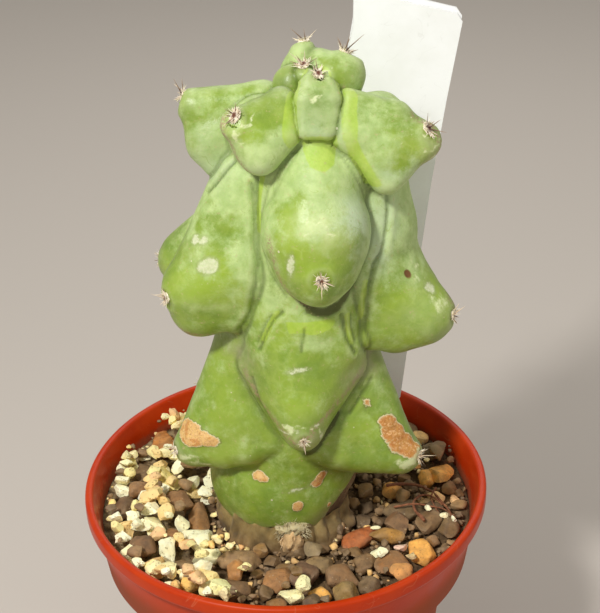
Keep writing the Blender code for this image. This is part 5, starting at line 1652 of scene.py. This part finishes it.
def finished(graph, colour, rough, relief, strength, depth):
    """Joins colour, roughness and relief (millimetres deep) to the shader."""
    bump = graph.node("ShaderNodeBump", {"Height": relief, "Strength": strength,
                                         "Distance": depth * MM})
    graph.feed(graph.shader["Base Color"], colour)
    graph.feed(graph.shader["Roughness"], rough)
    graph.feed(graph.shader["Normal"], bump.outputs["Normal"])
    return graph.material


def bare_green(graph, broad, patchy):
    """The green under the bloom, yellower and veined in the young parts."""
    green = graph.mix(broad, rgb(116, 144, 48), rgb(142, 166, 56))
    green = graph.over(green, patchy, 0.3, rgb(156, 174, 84))
    yellow = graph.times(graph.mark("yellowed"), 0.7)
    green = graph.mix(yellow, green, rgb(158, 184, 48))
    net = graph.times(graph.use(VEINS, Size=2.2, Width=0.12),
                      graph.plus(0.08, graph.times(yellow, 0.5)))
    return graph.mix(net, green, rgb(190, 206, 116))


def wax_cover(graph, dots):
    """Where the bloom lies: worn in patches, rubbed off in lines and dots."""
    worn = graph.times(graph.less(graph.grain(2.4, 7.0, 0.72), 0.5), 1.7)
    wax = graph.step(graph.plus(graph.mark("bloom"), worn), 0.07, 0.74)
    rubbed = graph.use(SCRATCHES, Size=6.0, Width=0.012)
    wax = graph.times(wax, graph.less(1.0, graph.times(rubbed, 0.5)))
    return graph.times(wax, graph.less(1.0, graph.times(dots, 0.3)))


def dried_bark(graph, broad, fine):
    bark = graph.mix(graph.step(fine, 0.3, 0.7), rgb(112, 92, 62), rgb(160, 140, 102))
    return graph.mix(broad, bark, rgb(96, 76, 54))


def cork_colour(graph, fine, ragged):
    """Tan cork, rustier on the right, streaked, pitted and cracked."""
    rusty = graph.step(graph.axis("X"), -0.004, 0.012)
    cork = graph.mix(graph.times(rusty, 0.85), rgb(226, 184, 112), rgb(186, 124, 52))
    cork = graph.mix(graph.step(fine, 0.4, 0.8), cork, rgb(232, 188, 134))
    streaks = graph.step(graph.grain(1.3, 4.0, 0.6), 0.5, 0.62)
    cork = graph.over(cork, streaks, 0.6, rgb(192, 118, 44))
    pitted = graph.use(SPECKS, Size=0.6, Share=0.35, Radius=0.22)
    cork = graph.over(cork, pitted, 0.55, rgb(170, 100, 44))
    cracks = graph.step(graph.math("ABSOLUTE", ragged), 0.03, 0.0)
    return graph.over(cork, cracks, 0.5, rgb(140, 84, 38))


def skin_finish():
    """Waxy green skin: bloom, young patches, dry edges, scars and cork."""
    graph = new_finish("cactus skin", 0.45, {
        "Subsurface Weight": 0.1, "Subsurface Radius": (0.6, 1.0, 0.3),
        "Subsurface Scale": 0.0012})
    broad = graph.use(MOTTLE, Size=7.0, Contrast=0.14)
    patchy = graph.use(MOTTLE, Size=1.7, Contrast=0.2)
    fine = graph.grain(0.35, 3.0)
    ragged = graph.less(graph.grain(0.7, 4.0, 0.65), 0.5)
    dots = graph.use(SPECKS, Size=0.75, Share=0.45, Radius=0.2)

    bloom_tint = graph.mix(patchy, rgb(164, 188, 112), rgb(188, 207, 136))
    bloom_tint = graph.mix(graph.mark("bluish"), bloom_tint, rgb(192, 208, 172))
    wax = wax_cover(graph, dots)
    colour = graph.mix(wax, bare_green(graph, broad, patchy), bloom_tint)
    # Painted highlight: pale patches on the upper lobes.
    painted_highlight = graph.times(graph.mark("painted_highlight"), graph.plus(0.4, graph.times(patchy, 0.35)))
    colour = graph.mix(painted_highlight, colour, rgb(218, 228, 168))
    young = graph.step(graph.plus(graph.mark("fresh"), graph.times(ragged, 0.3)), -0.14, 0.14)
    young_tint = graph.mix(patchy, rgb(162, 192, 58), rgb(180, 204, 76))
    colour = graph.over(colour, young, 0.8, young_tint)

    # Painted light and shade on the skin: painted shade in the folds and creases, painted light on
    # the bulges, and painted shade in the shaded patches and under the tips.
    fold_shade = graph.step(graph.mark("bend"), -0.01, -0.12)
    colour = graph.over(colour, fold_shade, 0.3, rgb(88, 106, 36))
    bulge_light = graph.step(graph.mark("bend"), 0.03, 0.16)
    colour = graph.over(colour, bulge_light, 0.25, rgb(206, 216, 160))
    # Painted shade from the shaded patches, darkest as painted shadow under the middle tips.
    shade_tint = graph.mix(graph.step(graph.mark("shaded"), 0.8, 1.1), rgb(98, 118, 54),
                           rgb(66, 70, 4))
    colour = graph.over(colour, graph.mark("shaded"), 0.75, shade_tint)
    # Painted shade in the grooves and creases.
    colour = graph.over(colour, graph.mark("crease_shade"), 0.6, rgb(72, 90, 30))

    # Dry edges, dust and the dried foot.
    dry = graph.times(graph.mark("rim"), graph.step(graph.plus(fine, ragged), 0.35, 0.6))
    colour = graph.over(colour, dry, 0.75, rgb(166, 132, 108))
    dust = graph.times(graph.mark("dust"), graph.plus(0.35, graph.times(patchy, 0.45)))
    colour = graph.mix(dust, colour, rgb(158, 152, 118))
    colour = graph.over(colour, graph.use(SOIL_DUST, Low=49.5, High=54.0), 0.7,
                        rgb(132, 108, 76))
    foot_edge = graph.plus(graph.mark("foot"), graph.times(ragged, 1.2))
    colour = graph.over(colour, graph.step(foot_edge, 0.1, 0.35), 0.8, rgb(186, 172, 122))
    foot = graph.step(foot_edge, 0.4, 0.65)
    colour = graph.mix(foot, colour, dried_bark(graph, broad, fine))

    # Cork, scars, spots and flecks.
    cork_edge = graph.plus(graph.mark("cork"), graph.times(ragged, 0.8))
    border = graph.mix(fine, rgb(206, 196, 140), rgb(232, 222, 184))
    colour = graph.over(colour, graph.step(cork_edge, -0.26, -0.12), 0.5, rgb(112, 104, 52))
    colour = graph.mix(graph.step(cork_edge, -0.13, 0.0), colour, border)
    colour = graph.mix(graph.step(cork_edge, -0.04, 0.12), colour,
                       cork_colour(graph, fine, ragged))
    scar_edge = graph.plus(graph.mark("pale"), graph.times(ragged, 0.7))
    colour = graph.over(colour, graph.step(scar_edge, -0.3, -0.05), 0.4, rgb(146, 156, 96))
    scar = graph.times(graph.step(scar_edge, -0.06, 0.2), graph.step(fine, 0.25, 0.75, 0.6, 1.0))
    colour = graph.mix(scar, colour, rgb(214, 218, 178))
    colour = graph.mix(graph.step(graph.mark("brown"), -0.08, 0.1), colour, rgb(110, 70, 26))
    cream = graph.step(graph.plus(graph.mark("cream"), graph.times(ragged, 1.2)), 0.3, 0.8)
    colour = graph.over(colour, cream, 0.75, rgb(224, 230, 176))
    flecks = graph.use(SPECKS, Size=2.6, Share=0.25, Radius=0.07)
    colour = graph.over(colour, flecks, 0.7, rgb(226, 222, 190))

    corky = graph.step(cork_edge, -0.2, 0.1)
    rough = graph.plus(graph.step(wax, 0.0, 1.0, 0.36, 0.54), graph.times(corky, 0.3))
    rough = graph.plus(rough, graph.times(dust, 0.25))
    rough = graph.plus(rough, graph.times(foot, 0.3))
    relief = graph.plus(graph.use(FINE_RELIEF, Size=0.45), graph.times(dots, -0.25))
    relief = graph.plus(relief, graph.times(graph.plus(dry, dust), 0.4))
    crust = graph.plus(corky, graph.step(foot, 0.0, 1.0))
    relief = graph.plus(relief, graph.times(crust, graph.grain(0.5, 3.0, 0.6)))
    return finished(graph, colour, graph.math("MINIMUM", rough, 0.9), relief, 0.4, 0.14)


def wool_finish():
    """Felt and spines of the areoles, coloured by their own tint."""
    graph = new_finish("areole wool and spines", 0.3, {"Sheen Weight": 0.1})
    tint = graph.tint()
    felt = graph.use(MOTTLE, Size=0.35, Contrast=0.2)
    colour = graph.mix(felt, graph.stained(tint, (0.86, 0.78, 0.66)), tint)
    return finished(graph, colour, graph.step(felt, 0, 1, 0.6, 0.85),
                    graph.use(FINE_RELIEF, Size=0.15), 0.6, 0.08)


def stone_finish():
    """River and burnt-clay gravel: uneven, gritty and dusty."""
    graph = new_finish("gravel stone", 0.35)
    tint = graph.tint()
    cloud = graph.use(MOTTLE, Size=1.3, Contrast=0.18)
    grains = graph.use(SPECKS, Size=0.35, Share=0.4, Radius=0.3)
    colour = graph.mix(cloud, graph.stained(tint, (1.18, 1.03, 0.69)),
                       graph.stained(tint, (1.92, 1.66, 1.03)))
    colour = graph.over(colour, grains, 0.35, rgb(70, 54, 42))
    pale = graph.use(SPECKS, Size=0.5, Share=0.12, Radius=0.25)
    colour = graph.over(colour, pale, 0.5, rgb(186, 166, 134))
    colour = graph.over(colour, graph.edges(0.52, 0.6), 0.3, rgb(176, 152, 122))
    film = graph.use(MOTTLE, Size=2.4, Contrast=0.12)
    colour = graph.over(colour, film, 0.18, rgb(168, 146, 112))
    relief = graph.plus(graph.use(FINE_RELIEF, Size=0.5), graph.times(grains, -0.3))
    return finished(graph, colour, graph.step(film, 0, 1, 0.62, 0.85), relief, 0.6, 0.2)


def pumice_finish():
    """Pale pumice: chalky and yellowed, full of small pores."""
    graph = new_finish("pumice", 0.3)
    cloud = graph.use(MOTTLE, Size=1.1, Contrast=0.16)
    pores = graph.use(SPECKS, Size=0.42, Share=0.55, Radius=0.3)
    colour = graph.over(graph.tint(), cloud, 0.35, rgb(230, 212, 150))
    colour = graph.stained(colour, (1.25, 1.25, 1.14))
    colour = graph.over(colour, pores, 0.4, rgb(150, 124, 80))
    colour = graph.over(colour, graph.edges(0.48, 0.4), 0.4, rgb(140, 114, 76))
    relief = graph.plus(graph.use(FINE_RELIEF, Size=0.5), graph.times(pores, -0.8))
    return finished(graph, colour, graph.step(cloud, 0, 1, 0.75, 0.92), relief, 0.8, 0.25)


def mix_finish():
    """Dark potting mix between the stones, chalky under the pumice."""
    graph = new_finish("potting mix", 0.25)
    cloud = graph.use(MOTTLE, Size=1.6, Contrast=0.18)
    bits = graph.use(SPECKS, Size=0.7, Share=0.5, Radius=0.32)
    colour = graph.mix(cloud, rgb(84, 66, 46), rgb(124, 98, 68))
    colour = graph.over(colour, bits, 0.6, rgb(142, 112, 78))
    chalky = graph.times(graph.step(graph.axis("X"), -0.012, -0.02),
                         graph.step(graph.grain(1.2, 4.0, 0.6), 0.35, 0.6))
    colour = graph.over(colour, chalky, 0.75, rgb(176, 156, 116))
    pale = graph.use(SPECKS, Size=0.9, Share=0.1, Radius=0.22)
    colour = graph.over(colour, pale, 0.7, rgb(200, 180, 140))
    relief = graph.plus(graph.use(FINE_RELIEF, Size=0.8), graph.times(bits, 0.7))
    return finished(graph, colour, graph.step(cloud, 0, 1, 0.8, 0.95), relief, 1.0, 0.45)


def pot_finish():
    """Terracotta-red moulded plastic with scuffs and dried splashes inside."""
    graph = new_finish("terracotta plastic", 0.18)
    cloud = graph.use(MOTTLE, Size=9.0, Contrast=0.14)
    colour = graph.mix(cloud, rgb(184, 50, 8), rgb(194, 60, 12))
    scuffs = graph.use(SCRATCHES, Size=9.0, Width=0.005)
    colour = graph.over(colour, scuffs, 0.3, rgb(212, 130, 92))
    # Painted highlight: lighter on the rounded edges and the lip.
    colour = graph.over(colour, graph.edges(0.52, 0.58), 0.35, rgb(206, 98, 56))
    flecks = graph.use(SPECKS, Size=2.4, Share=0.2, Radius=0.06)
    colour = graph.over(colour, flecks, 0.5, rgb(90, 44, 28))
    x, y = graph.axis("X"), graph.axis("Y")
    radius = graph.math("SQRT", graph.plus(graph.times(x, x), graph.times(y, y)))
    inside = graph.step(radius, 0.0308, 0.0300)
    soiled = graph.times(graph.use(SOIL_DUST, Low=49.0, High=53.5), inside)
    colour = graph.over(colour, soiled, 0.6, rgb(120, 82, 56))
    rough = graph.plus(graph.step(cloud, 0, 1, 0.3, 0.4), graph.times(soiled, 0.4))
    return finished(graph, colour, rough, graph.use(FINE_RELIEF, Size=1.6), 0.25, 0.1)


def label_finish():
    """White label plastic, a little dulled, soiled where it enters the mix."""
    graph = new_finish("label plastic", 0.5)
    cloud = graph.use(MOTTLE, Size=8.0, Contrast=0.2)
    scuffs = graph.use(SCRATCHES, Size=8.0, Width=0.006)
    colour = graph.mix(cloud, rgb(244, 244, 240), rgb(251, 251, 249))
    colour = graph.over(colour, scuffs, 0.18, rgb(206, 204, 196))
    soiled = graph.use(SOIL_DUST, Low=49.0, High=58.0)
    colour = graph.over(colour, soiled, 0.6, rgb(140, 114, 84))
    return finished(graph, colour, graph.step(cloud, 0, 1, 0.36, 0.5),
                    graph.use(FINE_RELIEF, Size=2.0), 0.15, 0.08)


def root_finish():
    """Dry reddish root bark."""
    graph = new_finish("dry root", 0.3)
    tint = graph.tint()
    cloud = graph.use(MOTTLE, Size=0.6, Contrast=0.2)
    colour = graph.mix(cloud, graph.stained(tint, (0.5, 0.42, 0.4)), tint)
    return finished(graph, colour, graph.step(cloud, 0, 1, 0.7, 0.9),
                    graph.use(FINE_RELIEF, Size=0.25), 0.6, 0.1)


# Camera and studio.

LIT_PLACE = Vector((2, 0, 85))
# Lamps: name, place, size in millimetres, watts.
LAMPS = [("key", (-125, -205, 345), 40, 1.1), ("fill", (260, -160, 220), 260, 0.16),
         ("back", (40, 300, 330), 260, 0.3)]
FLOOR_COLOUR = (0.62, 0.56, 0.49, 1)
WORLD_COLOUR, WORLD_STRENGTH = (1, 0.98, 0.95, 1), 0.39


def make_camera():
    camera = bpy.data.objects.new("camera", bpy.data.cameras.new("camera"))
    bpy.context.scene.collection.objects.link(camera)
    camera.data.sensor_width = SENSOR
    camera.data.lens = FOCAL_PX * SENSOR / FRAME_LONG_SIDE_PX
    camera.data.clip_start = 0.01
    pitch, roll = math.radians(CAMERA_PITCH), math.radians(CAMERA_ROLL)
    forward = Vector((0, math.cos(pitch), -math.sin(pitch)))
    level = Vector((1, 0, 0))
    right = level * math.cos(roll) + level.cross(forward) * math.sin(roll)
    turn = Matrix((right, right.cross(forward), -forward)).transposed().to_4x4()
    camera.matrix_world = Matrix.Translation(Vector(CAMERA_PLACE) * MM) @ turn
    bpy.context.scene.camera = camera


def make_light(name, place, size, power):
    """A soft square lamp that looks at the plant."""
    lamp = bpy.data.lights.new(name, "AREA")
    lamp.size = size * MM
    lamp.energy = power
    thing = bpy.data.objects.new(name, lamp)
    bpy.context.scene.collection.objects.link(thing)
    thing.location = Vector(place) * MM
    thing.rotation_euler = (LIT_PLACE - Vector(place)).to_track_quat("-Z", "Y").to_euler()


def make_studio():
    bpy.ops.mesh.primitive_plane_add(size=3)
    floor = bpy.context.object
    floor.name = "floor"
    paint = bpy.data.materials.new("floor")
    paint.use_nodes = True
    shader = paint.node_tree.nodes["Principled BSDF"]
    shader.inputs["Base Color"].default_value = FLOOR_COLOUR
    shader.inputs["Roughness"].default_value = 0.9
    floor.data.materials.append(paint)
    world = bpy.data.worlds.new("studio")
    world.use_nodes = True
    back = world.node_tree.nodes["Background"]
    back.inputs["Color"].default_value = WORLD_COLOUR
    back.inputs["Strength"].default_value = WORLD_STRENGTH
    bpy.context.scene.world = world
    bpy.context.scene.view_settings.view_transform = "Standard"
    for lamp in LAMPS:
        make_light(*lamp)


make_camera()
make_studio()
skin, wool, stone, pumice = skin_finish(), wool_finish(), stone_finish(), pumice_finish()
ground = Ground()
dressed = [(make_stem(skin), "stem"), (make_mix(mix_finish()), "soil"),
           (make_pot(pot_finish()), "pot"), (make_woody_tuft(wool), "areole")]
dressed += [(make_dry_skirt(wool), "stem")]
dressed += [(make_areole(name, wool), "areole") for name in AREOLES]
dressed += [(piece, "stone") for piece in make_stones(ground, stone)]
loose_stones, pumice_bed, grit = make_loose_pieces(ground, stone, pumice)
dressed += [(loose_stones, "stone"), (pumice_bed, "pumice"), (grit, "stone"),
            (make_roots(ground, root_finish()), "root")]
plastic = label_finish()
dressed += [(make_label(name, plastic), "label") for name in ("label_front", "label_rear")]
for piece, kind in dressed:
    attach(piece, "root")
